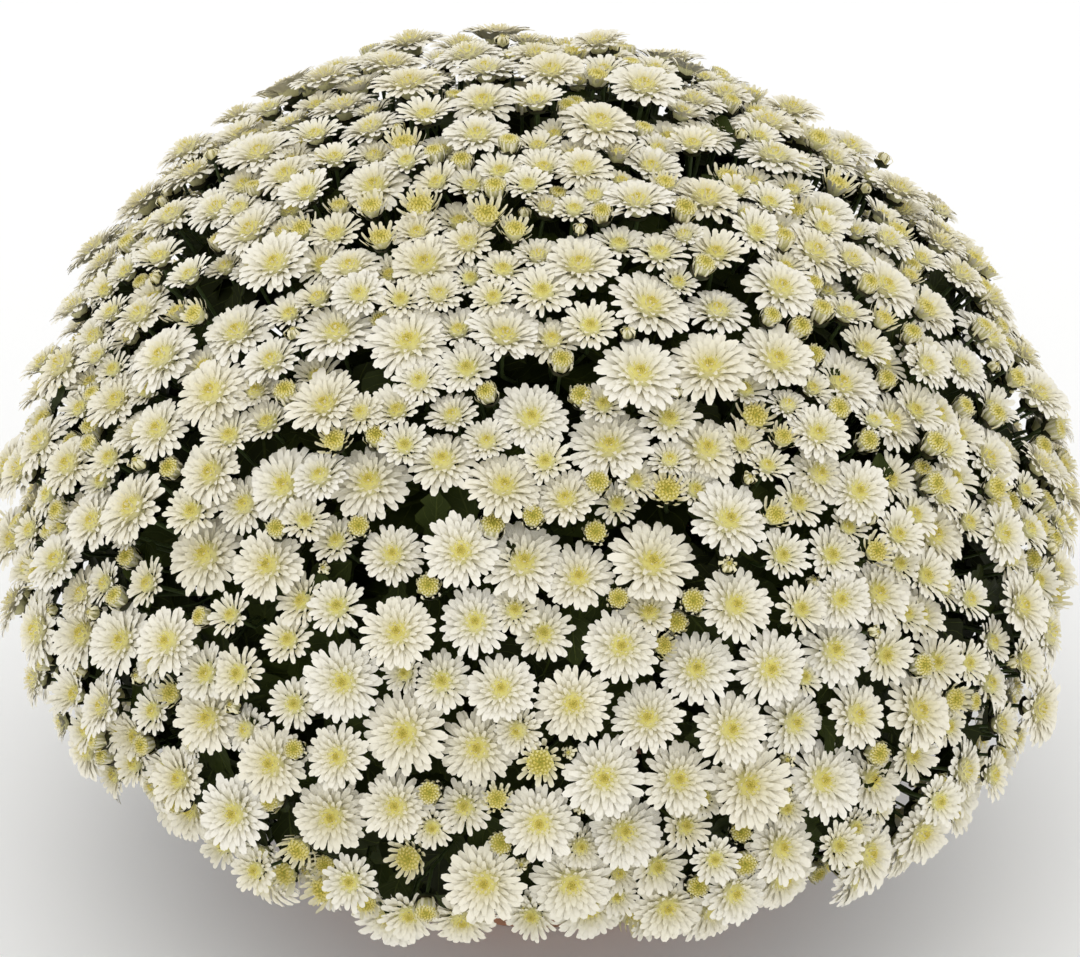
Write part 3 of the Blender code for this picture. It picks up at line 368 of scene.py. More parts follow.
@dataclass
class Layout:
    """The seeded rule that places the heads. Its first part is the one that placed the frame's sprays."""

    dome: Dome
    picture: Picture
    seed: int = 11
    sprays: int = 44
    blooms: int = 576
    buds: int = 44
    lowest_spray: float = math.radians(103)
    lowest_bloom: float = math.radians(113)
    spray_spacing: float = 0.150
    packing: float = 0.88
    spray_gap: float = 0.002
    dark_gap: float = 0.011
    push: float = 0.22
    rounds: int = 150
    smallest: float = 0.0130
    largest: float = 0.0245
    size_mix: float = 0.85
    bud_space: float = 0.0085
    bloom_lift: float = 0.0032
    spray_lift: float = 0.0045
    turn_to_light: float = 0.06
    low_turn_to_light: float = 0.45
    wobble: float = 0.13
    landmarks: tuple[tuple[int, int, float], ...] = (
        (655, 563, 0.0250),
        (407, 338, 0.0245),
        (750, 786, 0.0250),
        (590, 326, 0.0170),
        (580, 578, 0.0200),
        (441, 458, 0.0205),
        (163, 430, 0.0195),
        (232, 328, 0.0235),
        (905, 417, 0.0205),
        (710, 446, 0.0215),
        (612, 442, 0.0240),
        (203, 720, 0.0215),
        (341, 683, 0.0225),
        (460, 551, 0.0215),
        (940, 300, 0.0205),
        (219, 848, 0.0150),
        (262, 861, 0.0145),
        (350, 880, 0.0170),
        (462, 921, 0.0195),
        (668, 908, 0.0205),
        (1005, 755, 0.0155),
    )
    shown: float = 0.94
    lower_blooms: int = 262
    lower_size: Pair = (0.0115, 0.0174)
    lower_lift: Pair = (-0.0035, 0.0030)
    small_heads: int = 360
    small_rounds: int = 45
    small_lift: Pair = (0.0, 0.0035)
    small_wobble: float = 0.16
    half_open_until: float = 0.22
    button_until: float = 0.74
    small_sizes: tuple[Pair, Pair, Pair] = ((0.0088, 0.0120), (0.0062, 0.0078), (0.0036, 0.0050))
    button_radius: float = 0.0070
    full_above: float = 0.0180
    half_open_below: float = 0.0148
    half_open_chance: float = 0.40
    open_chance: float = 0.65
    crown_share: float = 0.56
    crown_angle: float = math.radians(58)
    scene_turn: float = 0.42
    fills: tuple[tuple[int, int, int], ...] = ((470, 345, 6), (950, 520, 9), (100, 500, 5))
    fill_spread: float = 0.10
    area_steps: int = 400
    least_angle: float = 0.02
    hollows: tuple[tuple[int, int, float, float], ...] = (
        (165, 838, 0.050, 0.024),
        (300, 915, 0.034, 0.016),
        (572, 945, 0.042, 0.022),
        (780, 915, 0.030, 0.010),
        (20, 650, 0.070, 0.010),
        (1075, 620, 0.090, 0.008),
        (800, 92, 0.090, 0.008),
    )
    shares: tuple[tuple[float, ...], ...] = ((0.8, 0.70, 0.86), (0.70, 0.86, 0.82), (0.86, 0.82, 1.25))
    roots: Array = field(init=False)
    head_directions: Array = field(init=False)

    def spread(self, rng: np.random.Generator, count: int, lowest: float) -> Array:
        """Seeded directions, even over the bloom surface: the angle down comes from its area up to there.

        Args:
            rng: the source of the random draws.
            count: how many directions.
            lowest: the largest angle down.

        Returns:
            Unit directions, shape (count, 3).
        """
        angles = np.linspace(self.least_angle, lowest, self.area_steps)
        at = self.dome.point(polar(angles, np.zeros(self.area_steps)))
        ring = np.hypot(at[:, 0], at[:, 1])
        step = np.linalg.norm(np.diff(at, axis=0), axis=1)
        area = np.concatenate([[0], np.cumsum(step * (ring[1:] + ring[:-1]) / 2)])
        chosen = np.interp(rng.random(count) * area[-1], area, angles)
        return polar(chosen, rng.random(count) * 2 * math.pi)

    def raised(self, direction: Array, lowest: float) -> Array:
        """The directions, with those below the lowest angle brought up to it."""
        down = np.arccos(np.clip(direction[..., 2], -1, 1))
        return polar(np.minimum(down, lowest), np.arctan2(direction[..., 1], direction[..., 0]))

    def dark_patches(self, points: Array) -> Array:
        """How open the bush is: the product of two wide waves over the dome, a fine third one, and more of it
        low down.

        Args:
            points: points on the dome.

        Returns:
            Values from 0 to 1.
        """
        x, y, z = (points - self.dome.centre).T / self.dome.radius
        wide = np.sin(5.1 * x + 2.2 * z + 0.4) * np.sin(4.3 * z - 3.7 * y + 1.3)
        fine = np.sin(9 * x - 7 * z + 2.0)
        return np.clip(0.40 + 0.45 * wide + 0.27 * fine - 0.25 * z, 0, 1)

    def hollow(self, points: Array) -> Array:
        """How much further in the bush lies than its dome: soft hollows by its edge, placed by the picture.
        Each is a bell curve of the distance from its middle.

        Args:
            points: points on the dome.

        Returns:
            Depths in metres.
        """
        depth = np.zeros(len(points))
        for across, down, reach, deep in self.hollows:
            away = np.linalg.norm(points - self.picture.seen_at(self.dome, across, down), axis=1)
            depth = np.maximum(depth, deep * np.exp(-((away / reach) ** 2)))
        return depth

    def pushed_apart(
        self, direction: Array, wanted: Spacing, lowest: float, fixed: int = 0, rounds: int = 0
    ) -> Array:
        """Moves directions over the dome until each pair is about as far apart as wanted asks.

        Args:
            direction: the directions at the start.
            wanted: gives the wanted distances from points and directions.
            lowest: the largest angle down.
            fixed: how many of the first stay where they are.
            rounds: how often, or 0 for the usual number.

        Returns:
            The new directions.
        """
        for _ in range(rounds or self.rounds):
            points = self.dome.point(direction)
            apart = points[:, None] - points[None]
            distance = np.linalg.norm(apart, axis=2) + np.eye(len(points))
            push = np.clip(wanted(points, direction) - distance, 0, None) / distance
            np.fill_diagonal(push, 0)
            shift = self.push * (apart * push[..., None]).sum(1)
            shift[:fixed] = 0
            direction = self.raised(unit(points + shift - self.dome.centre), lowest)
        return direction

    def place(self) -> Heads:
        """Draws and places all heads.

        Returns:
            The heads, sorted as their class says.
        """
        dome = self.dome
        rng = np.random.default_rng(self.seed)
        start = self.spread(rng, self.sprays, self.lowest_spray)
        roots = self.pushed_apart(start, lambda points, direction: self.spray_spacing, self.lowest_spray)
        self.roots = roots
        marks = np.array([self.picture.seen_at(dome, across, down) for across, down, _ in self.landmarks])
        others = self.blooms - len(marks)
        drawn = self.smallest + (self.largest - self.smallest) * rng.random(others) ** self.size_mix
        given = [radius for _, _, radius in self.landmarks]
        radius = np.concatenate([given, drawn, np.full(self.buds, self.bud_space)])
        free = self.spread(rng, others + self.buds, self.lowest_bloom)
        direction = np.concatenate([self.raised(unit(marks - dome.centre), self.lowest_bloom), free])

        def wanted(points: Array, ways: Array) -> Array:
            """The sum of the radii, less the overlap of neighbours, and more where the bush is open.

            Args:
                points: where the heads are.
                ways: their directions from the dome's centre.

            Returns:
                Distances in metres, for each pair.
            """
            home = np.argmax(ways @ roots.T, axis=1)
            dark = self.dark_patches(points)
            spare = self.dark_gap * (dark[:, None] + dark[None]) / 2
            spare = spare + self.spray_gap * (home[:, None] != home[None])
            return self.packing * (radius[:, None] + radius[None]) + spare

        direction = self.pushed_apart(direction, wanted, self.lowest_bloom, len(marks))
        spray = np.argmax(direction @ roots.T, axis=1)
        lift = rng.normal(0, self.bloom_lift, len(direction))
        lift = lift + rng.normal(0, self.spray_lift, self.sprays)[spray]
        lift = np.clip(lift, -2 * self.spray_lift, 2 * self.spray_lift)
        turn = rng.random(len(direction)) * 2 * math.pi
        axis = self.facing(rng, direction, self.wobble)
        return self.with_small_heads(direction, axis, radius, lift, turn, roots)

    def facing(self, rng: np.random.Generator, direction: Array, wobble: float) -> Array:
        """Each head faces out of the dome. Low ones turn up towards the light.

        Args:
            rng: the source of the random draws.
            direction: where the heads are.
            wobble: how far they lean at random.

        Returns:
            Unit directions.
        """
        normal = self.dome.normal(direction)
        turn = self.turn_to_light + self.low_turn_to_light * np.clip(-normal[:, 2], 0, None)
        tilted = unit(normal + turn[:, None] * UP)
        return unit(tilted + rng.normal(0, wobble, tilted.shape))

    def filling(self, rng: np.random.Generator, across: int, down: int, count: int) -> Array:
        """Seeded directions close round the place on the dome that a pixel shows.

        Args:
            rng: the source of the random draws.
            across: pixels from the left.
            down: pixels from the top.
            count: how many directions.

        Returns:
            Unit directions, shape (count, 3).
        """
        middle = unit(self.picture.seen_at(self.dome, across, down) - self.dome.centre)
        return self.raised(unit(middle + rng.normal(0, self.fill_spread, (count, 3))), self.lowest_bloom)

    def with_small_heads(
        self, direction: Array, axis: Array, radius: Array, lift: Array, turn: Array, roots: Array
    ) -> Heads:
        """Adds lower blooms and small heads between the frame's ones, and gives every head its stage.

        Args:
            direction: where the frame's heads are.
            axis: which way they face.
            radius: their radii.
            lift: how far they stand out of the dome.
            turn: their turn about their axes.
            roots: the directions of the sprays.

        Returns:
            All heads.
        """
        rng = np.random.default_rng(self.seed + 2)
        known, low, small = len(radius), self.lower_blooms, self.small_heads
        extra = low + small
        kind = rng.random(small)
        kinds = [kind < self.half_open_until, kind < self.button_until]
        stage = np.select(kinds, [Stage.HALF, Stage.BUTTON], Stage.BUD)
        half, button, bud = self.small_sizes
        least = np.select(kinds, [half[0], button[0]], bud[0])
        most = np.select(kinds, [half[1], button[1]], bud[1])
        small_radius = least + (most - least) * rng.random(small)
        size = np.concatenate([radius * self.shown, rng.uniform(*self.lower_size, low), small_radius])
        group = np.repeat([0, 1, 2], [known, low, small])
        share = np.array(self.shares)[group[:, None], group[None]]
        reach = share * (size[:, None] + size[None])
        high = int(low * self.crown_share)
        above = self.spread(rng, high, self.crown_angle)
        start = np.concatenate([direction, above, self.spread(rng, extra - high, self.lowest_bloom)])
        filled = np.concatenate([self.filling(rng, *fill) for fill in self.fills])
        start[known : known + len(filled)] = filled
        placed = self.pushed_apart(
            start, lambda points, ways: reach, self.lowest_bloom, known, self.small_rounds
        )
        first = np.where(radius > self.full_above, Stage.FULL, Stage.OPEN)
        half_open = (radius < self.half_open_below) & (rng.random(known) < self.half_open_chance)
        first = np.where(half_open, Stage.HALF, first)
        first[self.blooms :] = Stage.BUTTON
        size[:known][first == Stage.BUTTON] = self.button_radius
        lower = np.where(rng.random(low) < self.open_chance, Stage.OPEN, Stage.FULL)
        added_lift = np.concatenate([rng.normal(*self.lower_lift, low), rng.normal(*self.small_lift, small)])
        all_lift = np.concatenate([lift, added_lift])
        all_lift[len(self.landmarks) :] -= self.hollow(self.dome.point(placed))[len(self.landmarks) :]
        self.head_directions = placed
        added_axis = self.facing(rng, placed[known:], self.small_wobble)
        return Heads(
            face=self.dome.point(placed) + placed * all_lift[:, None],
            axis=unit(np.concatenate([axis, added_axis]) + self.scene_turn * UP),
            radius=size,
            stage=np.concatenate([first, lower, stage]).astype(int),
            spray=np.argmax(placed @ roots.T, axis=1),
            turn=np.concatenate([turn, rng.random(extra) * 2 * math.pi]),
            rise=rng.normal(0, 1, known + extra),
            tint=rng.random(known + extra),
            lift=all_lift,
        )


@dataclass
class Surface:
    """Points, faces and what the materials read: a float value per point by name, and a UV map."""

    points: Array
    faces: list[Array]
    values: dict[str, Array]
    uv: Array

    @staticmethod
    def grid(points: Array, values: dict[str, Array], closed: bool = False, flip: bool = False) -> "Surface":
        """Many like grids at once: the four neighbours in each grid make a face.

        Args:
            points: shape (n, rows, columns, 3).
            values: floats that fit (n, rows, columns).
            closed: whether the last column joins the first.
            flip: whether the faces look the other way.

        Returns:
            The surface. U runs across the columns and V along the rows.
        """
        count, rows, columns = points.shape[:3]
        first = np.arange(count)[:, None, None] * rows * columns
        row = np.arange(rows - 1)[None, :, None] * columns
        column = np.arange(columns if closed else columns - 1)[None, None]
        following = (column + 1) % columns
        corners = [first + row + column, first + row + following]
        corners += [corners[1] + columns, corners[0] + columns]
        faces = np.stack(corners[::-1] if flip else corners, -1).reshape(-1, 4)
        u, v = np.meshgrid(np.linspace(0, 1, columns), np.linspace(0, 1, rows))
        uv = np.broadcast_to(np.stack([u, v], -1), (count, rows, columns, 2)).reshape(-1, 2)
        shape = (count, rows, columns)
        flat = {name: np.broadcast_to(value, shape).reshape(-1) for name, value in values.items()}
        return Surface(points.reshape(-1, 3), [faces], flat, uv)

    @staticmethod
    def cones(rings: Array, tips: Array, values: dict[str, Array], tip_values: dict[str, Array]) -> "Surface":
        """Many pointed caps at once: a ring of points, each pair of neighbours joined to the tip.

        Args:
            rings: shape (n, sides, 3), turning left about the way to the tip.
            tips: shape (n, 3).
            values: a float per cap for its ring.
            tip_values: a float per cap for its tip.

        Returns:
            The surface.
        """
        count, sides = rings.shape[:2]
        points = np.concatenate([rings, tips[:, None]], 1).reshape(-1, 3)
        first = np.arange(count)[:, None] * (sides + 1)
        side = np.arange(sides)[None]
        corners = [first + side, first + (side + 1) % sides, first + sides + 0 * side]
        faces = np.stack(corners, -1).reshape(-1, 3)
        flat = {}
        for name, value in values.items():
            both = np.repeat(np.broadcast_to(value, (count,))[:, None], sides + 1, 1)
            both[:, -1] = tip_values.get(name, value)
            flat[name] = both.reshape(-1)
        return Surface(points, [faces], flat, np.zeros((len(points), 2)))

    @staticmethod
    def joined(parts: "list[Surface]") -> "Surface":
        """One surface from several.

        Args:
            parts: surfaces that hold the same values.

        Returns:
            The surface.
        """
        starts = np.cumsum([0] + [len(part.points) for part in parts])
        faces = [face + start for part, start in zip(parts, starts) for face in part.faces]
        names = parts[0].values
        values = {name: np.concatenate([part.values[name] for part in parts]) for name in names}
        points = np.concatenate([part.points for part in parts])
        return Surface(points, faces, values, np.concatenate([part.uv for part in parts]))

    def triangles(self) -> int:
        """How many triangles the faces make."""
        return sum(len(face) * (face.shape[1] - 2) for face in self.faces)

    def mesh(self, name: str) -> bpy.types.Mesh:
        """Makes the mesh, smooth, with its UV map and values.

        Args:
            name: the mesh's name.

        Returns:
            The mesh.
        """
        mesh = bpy.data.meshes.new(name)
        flat = np.concatenate([face.reshape(-1) for face in self.faces]).astype(np.int32)
        sides = np.concatenate([np.full(len(face), face.shape[1]) for face in self.faces])
        mesh.vertices.add(len(self.points))
        mesh.vertices.foreach_set("co", self.points.astype(np.float32).reshape(-1))
        mesh.loops.add(len(flat))
        mesh.loops.foreach_set("vertex_index", flat)
        mesh.polygons.add(len(sides))
        mesh.polygons.foreach_set("loop_start", np.concatenate([[0], np.cumsum(sides)[:-1]]).astype(np.int32))
        mesh.update(calc_edges=True)
        mesh.shade_smooth()
        layer = mesh.uv_layers.new(name="along")
        layer.data.foreach_set("uv", self.uv[flat].astype(np.float32).reshape(-1))
        for key, value in self.values.items():
            mesh.attributes.new(key, "FLOAT", "POINT").data.foreach_set("value", value.astype(np.float32))
        return mesh

    def piece(
        self,
        name: str,
        material: bpy.types.Material,
        slot: str,
        replaced: str,
        cutters: "tuple[Surface, ...]" = (),
    ) -> int:
        """Args:
            name: the piece's name.
            material: its material.
            slot: the record's material slot; not used.
            replaced: the frame's node that it stands for.
            cutters: closed surfaces to take away from it.

        Returns:
            How many triangles it has.
        """
        mesh = self.mesh(name)
        made = bpy.data.objects.new(name, mesh)
        mesh.materials.append(material)
        bpy.context.scene.collection.objects.link(made)
        if cutters:
            drilled(made, cutters)
        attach(made, BODY)
        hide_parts(replaced)
        count = sum(len(face.vertices) - 2 for face in made.data.polygons) if cutters else self.triangles()
        LOG.info("%s: %d triangles", name, count)
        return count


def drilled(made: bpy.types.Object, cutters: tuple[Surface, ...]) -> None:
    """Takes closed surfaces away from an object and gives it the mesh that is left.

    Args:
        made: the object.
        cutters: what is taken away.
    """
    drills = []
    for number, cutter in enumerate(cutters):
        drill = bpy.data.objects.new(f"drill_{number}", cutter.mesh(f"drill_{number}"))
        bpy.context.scene.collection.objects.link(drill)
        cut = made.modifiers.new(f"drill_{number}", "BOOLEAN")
        cut.object, cut.operation, cut.solver = drill, "DIFFERENCE", "EXACT"
        drills.append(drill)
    left = bpy.data.meshes.new_from_object(made.evaluated_get(bpy.context.evaluated_depsgraph_get()))
    made.modifiers.clear()
    made.data = left
    left.set_sharp_from_angle(angle=SHARP_ANGLE)
    for drill in drills:
        bpy.data.meshes.remove(drill.data)


def tubes(centres: Array, radii: Array, sides: int, values: dict[str, Array]) -> Surface:
    """Many round bars at once: a ring round each point of a path, square to the path.

    Args:
        centres: paths, shape (n, stations, 3).
        radii: shape (n, stations).
        sides: how many sides each bar has.
        values: floats that fit (n, stations).

    Returns:
        The surface of the bars, open at both ends.
    """
    along = unit(np.gradient(centres, axis=1))
    middle = along.mean(1)
    first, _ = across_axes(unit(middle))
    first = unit(first[:, None] - along * (first[:, None] * along).sum(-1, keepdims=True))
    second = np.cross(along, first)
    turn = ring_angles(sides)
    out = first[:, :, None] * np.cos(turn)[:, None] + second[:, :, None] * np.sin(turn)[:, None]
    points = centres[:, :, None] + out * radii[:, :, None, None]
    return Surface.grid(points, {name: value[..., None] for name, value in values.items()}, closed=True)


def bezier(start: Array, control: Array, end: Array, share: Array) -> Array:
    """Points of quadratic curves: start (1-t)^2 + control 2t(1-t) + end t^2."""
    return start * (1 - share) ** 2 + control * 2 * share * (1 - share) + end * share**2


@dataclass(frozen=True)
class PetalBuild:
    """What the petals of every stage share. A scatter is the standard deviation of a random draw. Most pairs
    hold a number at the rim and how much of it goes, or comes, towards the heart; hidden holds the share of a
    petal that its neighbours hide at the rim and in the heart, and half_widths the least and the greatest."""

    fewest_at: float = 0.011
    most_over: float = 0.010
    turn_scatter: float = 0.045
    reach_scatter: float = 0.03
    least_reach: float = 0.45
    pressed_rise: float = 0.35
    height_scatter: float = 0.025
    foot_radius: Pair = (0.92, 0.62)
    foot_depth: Pair = (1.0, 0.72)
    bulge_scatter: float = 0.03
    hidden: Pair = (0.34, 0.20)
    narrowing: float = 0.58
    width_scatter: float = 0.10
    half_widths: Pair = (0.0007, 0.0026)
    channel: float = 0.24
    channel_inward: Pair = (0.7, 0.6)
    lean_scatter: float = 0.10
    tone_power: float = 2.6
    foot_power: float = 2.2
    foot_tone: float = 0.30
    foot_green: float = 0.10


@dataclass(frozen=True)
class FloretBuild:
    """The florets and the disc under them. Lengths are shares of the floret's or the disc's size, and
    below_crown is a share of the head's radius. The steps dimple_tone and pale_rim run over the way out
    from the middle of the disc, dimple_tone inwards. In dimple_green, a young head adds the second number."""

    sides: int = 3
    first: float = 0.6
    turn: float = 0.6
    sunk: float = 0.3
    tall: float = 1.3
    tall_scatter: float = 0.15
    lean: float = 0.93
    below_crown: float = 0.10
    dome: float = 0.20
    dimple: float = 0.42
    dimple_width: float = 0.38
    dimple_tone: Pair = (-0.42, -0.08)
    pale_rim: Pair = (0.35, 0.95)
    tone: float = 0.88
    rim_paler: float = 0.48
    dimple_darker: float = 0.12
    dimple_green: Pair = (0.22, 0.26)
    young_green: float = 0.05
    tip_tone: float = 0.88
    tip_green: float = 0.85


@dataclass
class FlowerHeads:
    """The petals, florets, discs, cups and stalks of the heads. Of the pairs, past_disc holds open heads
    first, cup_rises closed ones first and painted_gap_shades full ones first. cup_tips holds the scales' tips
    and the places between them. cup_side, scale_rise and stalk_sizes hold a number and what is added to it.
    The body's tones and greens, ring by ring, are its own colour. At the disc's edge and the shoulder they
    are
    also painted shade: the olive shade seen in the gaps between the inner petals, which painted_gap_shades
    deepens."""

    heads: Heads
    layout: Layout
    petal: PetalBuild = PetalBuild()
    floret: FloretBuild = FloretBuild()
    body: float = 0.40
    body_below: float = 0.20
    body_sides: int = 6
    # painted shade: at the disc's edge and the shoulder, these tones and greens stand partly for the olive
    # shade seen between the inner petals
    body_tones_and_painted_shade: tuple[float, ...] = (0.95, 0.80, 0.34, 0.40)
    body_greens_and_painted_shade: tuple[float, ...] = (0.7, 0.28, 0.16, 0.3)
    painted_gap_shades: Pair = (0.06, 0.16)
    under_florets: float = 0.0003
    past_disc: Pair = (1.08, 1.02)
    body_hole: float = 0.02
    body_foot: Pair = (0.7, 0.9)
    cup_sides: int = 8
    cup_depth: float = 0.42
    cup_foot_radius: float = 0.24
    cup_side: Pair = (0.90, 0.04)
    cup_side_depth: float = 0.14
    cup_tips: Pair = (1.08, 0.98)
    cup_rises: Pair = (0.62, 0.35)
    scale_rise: Pair = (0.35, 0.65)
    cup_edges: tuple[float, ...] = (0.2, 0.45, 1.0)
    least_room: float = 0.004
    least_towards: float = 0.05
    plane_room: float = 1.06
    over_neighbours: float = 1.1
    most_over: float = 0.011
    neighbours: int = 14
    petal_gap: float = 0.0004
    stalk_radius: float = 0.00105
    stalk_stations: tuple[float, ...] = (0.0, 0.22, 0.55, 1.0)
    stalk_sides: int = 4
    stalk_reach: float = 0.55
    stalk_sizes: Pair = (0.75, 20.0)
    stalk_flare: float = 0.25
    hub_scatter: float = 0.004
    rng: np.random.Generator = field(default_factory=lambda: np.random.default_rng(21))

    def __post_init__(self) -> None:
        """Works out each head's axes, and the planes that part it from its neighbours."""
        self.first, self.second = across_axes(self.heads.axis)
        self.plane_normal, self.plane_room_left = self.dividing_planes()

    def dividing_planes(self) -> tuple[Array, Array]:
        """Planes through the dome's centre and the point that divides the way between two heads.

        Returns:
            The planes' normals, shape (heads, neighbours, 3), and each head's distance to them.
        """
        heads, centre = self.heads, self.layout.dome.centre
        here = self.layout.dome.point(self.layout.head_directions) - centre
        distance = np.linalg.norm(here[:, None] - here[None], axis=2)
        np.fill_diagonal(distance, FAR)
        near = np.argsort(distance, axis=1)[:, : self.neighbours]
        away = here[near] - here[:, None]
        share = heads.radius[:, None] / (heads.radius[:, None] + heads.radius[near])
        divide = unit(here[:, None] + away * share[..., None])
        normal = unit(away - divide * (away * divide).sum(-1, keepdims=True))
        room = -(normal * (heads.face - centre)[:, None]).sum(-1) - self.petal_gap
        step = np.abs(heads.lift[:, None] - heads.lift[near])
        return normal, room + np.minimum(self.over_neighbours * step, self.most_over)

    def reach(self, owner: Array, heading: Array) -> Array:
        """How far a head may reach along a heading before it comes to a neighbour's plane.

        Args:
            owner: the head of each petal.
            heading: the petal's heading, square to the head's axis.

        Returns:
            Distances in metres.
        """
        towards = (heading[:, None] * self.plane_normal[owner]).sum(-1)
        room = np.maximum(self.plane_room_left[owner], self.least_room)
        free = room / np.maximum(towards, self.least_towards)
        return np.where(towards > self.least_towards, free, 1.0).min(1)

    def in_world(
        self, owner: Array, theta: Array, radial: Array, height: Array, aside: Array | float = 0.0
    ) -> Array:
        """World points from a head's own round coordinates.

        Args:
            owner: the head of each row.
            theta: the angle round its axis.
            radial: the distance from the axis.
            height: the height along the axis above the face.
            aside: the distance square to the radial line.

        Returns:
            Points, with one more axis than radial.
        """
        extra = (None,) * (radial.ndim - 1)
        cos, sin = np.cos(theta)[(..., *extra)], np.sin(theta)[(..., *extra)]
        x, y = radial * cos - aside * sin, radial * sin + aside * cos
        pick = (slice(None), *extra, slice(None))
        first, second, axis = (a[owner][pick] for a in (self.first, self.second, self.heads.axis))
        face = self.heads.face[owner][pick]
        return face + x[..., None] * first + y[..., None] * second + height[..., None] * axis

    def petals(self, chosen: Array, rows: PetalRows) -> Surface:
        """Petals in spirals, from the rim inwards, each turned by the golden angle from the last.

        A petal's middle line is a quadratic curve from the cup to its tip. The tips lie on a shallow dome.
        The blade is a channel whose edges stand up by the square of the distance from the middle line.

        Args:
            chosen: the numbers of the heads.
            rows: which of their petals, and their meshes.

        Returns:
            The surface.
        """
        heads, rng, build = self.heads, self.rng, self.petal
        low, high = heads.form("petals")[chosen].T
        size = np.clip((heads.radius[chosen] - build.fewest_at) / build.most_over, 0, 1)
        number = np.round(low + (high - low) * size).astype(int)
        owner = np.repeat(chosen, number)
        order = np.concatenate([np.arange(n) for n in number])
        inward = order / (np.repeat(number, number) - 1)
        used = (inward >= rows.start) & (inward < rows.end)
        owner, order, inward = owner[used], order[used], inward[used]
        count = len(owner)
        radius = heads.radius[owner]

        def form(name: str) -> Array:
            """That number of each petal's head."""
            return heads.form(name)[owner]

        theta = heads.turn[owner] + order * GOLDEN_ANGLE + rng.normal(0, build.turn_scatter, count)
        cos, sin = np.cos(theta)[:, None], np.sin(theta)[:, None]
        heading = self.first[owner] * cos + self.second[owner] * sin
        span = form("tip_radius") - form("disc")
        tip_share = form("disc") + span * (1 - inward ** form("crowding"))
        free = radius * tip_share * (1 + rng.normal(0, build.reach_scatter, count))
        limit = self.reach(owner, heading) * self.plane_room
        tip_radius = np.minimum(free, np.maximum(limit, radius * build.least_reach * tip_share))
        pressed = 1 - tip_radius / free
        rim = form("rim") + form("rim_spread") * heads.rise[owner]
        bowl = rim + (form("crown") - rim) * (1 - tip_share**2)
        scatter = rng.normal(0, build.height_scatter, count)
        tip_height = radius * (bowl + build.pressed_rise * pressed + scatter)
        cup = heads.cup_radius()[owner]
        base_radius = cup * (build.foot_radius[0] - build.foot_radius[1] * inward)
        base_height = -radius * form("depth") * (build.foot_depth[0] - build.foot_depth[1] * inward)
        chord = np.stack([tip_radius - base_radius, tip_height - base_height], -1)
        bulges = form("bulge")
        bulge = bulges[:, 0] + (bulges[:, 1] - bulges[:, 0]) * inward
        bulge = bulge + rng.normal(0, build.bulge_scatter, count)
        below = np.stack([chord[:, 1], -chord[:, 0]], -1)
        base = np.stack([base_radius, base_height], -1)
        control = base + chord * 0.5 + below * bulge[:, None] * 2
        tip = base + chord
        outer_hidden, inner_hidden = build.hidden
        hidden = outer_hidden + (inner_hidden - outer_hidden) * inward
        hidden = np.where(heads.stage[owner] >= Stage.HALF, hidden, 0.0)
        share = hidden[:, None] + (1 - hidden[:, None]) * np.array(rows.stations)
        line = bezier(base[:, None], control[:, None], tip[:, None], share[..., None])
        tangent = unit(np.gradient(line, axis=1))
        scatter = 1 + rng.normal(0, build.width_scatter, count)
        half = radius * form("half_width") * (1 - build.narrowing * inward) * scatter
        half = np.clip(half, *build.half_widths)[:, None] * np.array(rows.widths)
        across = np.array([-1.0, 0.0, 1.0])
        curl = build.channel_inward[0] + build.channel_inward[1] * inward[:, None, None]
        raised = build.channel * half[..., None] * (across**2) * curl
        lean = rng.normal(0, build.lean_scatter, count)[:, None, None] * half[..., None] * across
        lift = raised + lean
        radial = line[..., 0:1] - tangent[..., 1:2] * lift
        height = line[..., 1:2] + tangent[..., 0:1] * lift
        aside = half[..., None] * across
        points = self.in_world(owner, theta, radial, height, aside)
        tones = form("tone")
        row_tone = tones[:, 0] + (tones[:, 1] - tones[:, 0]) * inward**build.tone_power
        foot = (1 - share) ** build.foot_power
        tone = np.clip(row_tone[:, None] + build.foot_tone * foot, 0, 1)[..., None]
        green = (build.foot_green * foot)[..., None] + 0 * tone
        values = {"tone": tone, "green": green, "tint": heads.tint[owner][:, None, None]}
        return Surface.grid(points, values, flip=True)

    def florets(self, chosen: Array) -> Surface:
        """The yellow centre: florets in a golden spiral on a disc with a dimple, each a small pointed cap.

        Args:
            chosen: the numbers of the heads.

        Returns:
            The surface.
        """
        heads, rng, build = self.heads, self.rng, self.floret
        number = heads.form("florets")[chosen].astype(int)
        owner = np.repeat(chosen, number)
        order = np.concatenate([np.arange(n) for n in number])
        out = np.sqrt((order + build.first) / np.repeat(number, number))
        disc = (heads.form("disc") * heads.radius)[owner]
        theta = heads.turn[owner] + order * GOLDEN_ANGLE
        radial = disc * out
        height = self.disc_height(owner, out)
        size = disc / np.sqrt(np.repeat(number, number))
        turn = ring_angles(build.sides) + build.turn
        ring_radial = radial[:, None] + size[:, None] * np.cos(turn)
        ring_aside = size[:, None] * np.sin(turn)
        ring_height = (height - build.sunk * size)[:, None] + 0 * ring_radial
        ring = self.in_world(owner, theta, ring_radial, ring_height, ring_aside)
        tall = size * build.tall * (1 + rng.normal(0, build.tall_scatter, len(owner)))
        tip = self.in_world(owner, theta, radial * build.lean, height + tall)
        young = np.clip(Stage.FULL - heads.stage[owner], 0, 3) / 3
        dimple = smooth(-out, *build.dimple_tone)
        green = dimple * (build.dimple_green[0] + build.dimple_green[1] * young)
        paler = build.rim_paler * young * smooth(out, *build.pale_rim)
        tone = build.tone - paler + build.dimple_darker * dimple
        low_green = np.clip(green + build.young_green * young, 0, 1)
        values = {"tone": tone, "green": low_green, "tint": heads.tint[owner]}
        tips = {"tone": tone * build.tip_tone, "green": green * build.tip_green, "tint": heads.tint[owner]}
        return Surface.cones(ring, tip, values, tips)

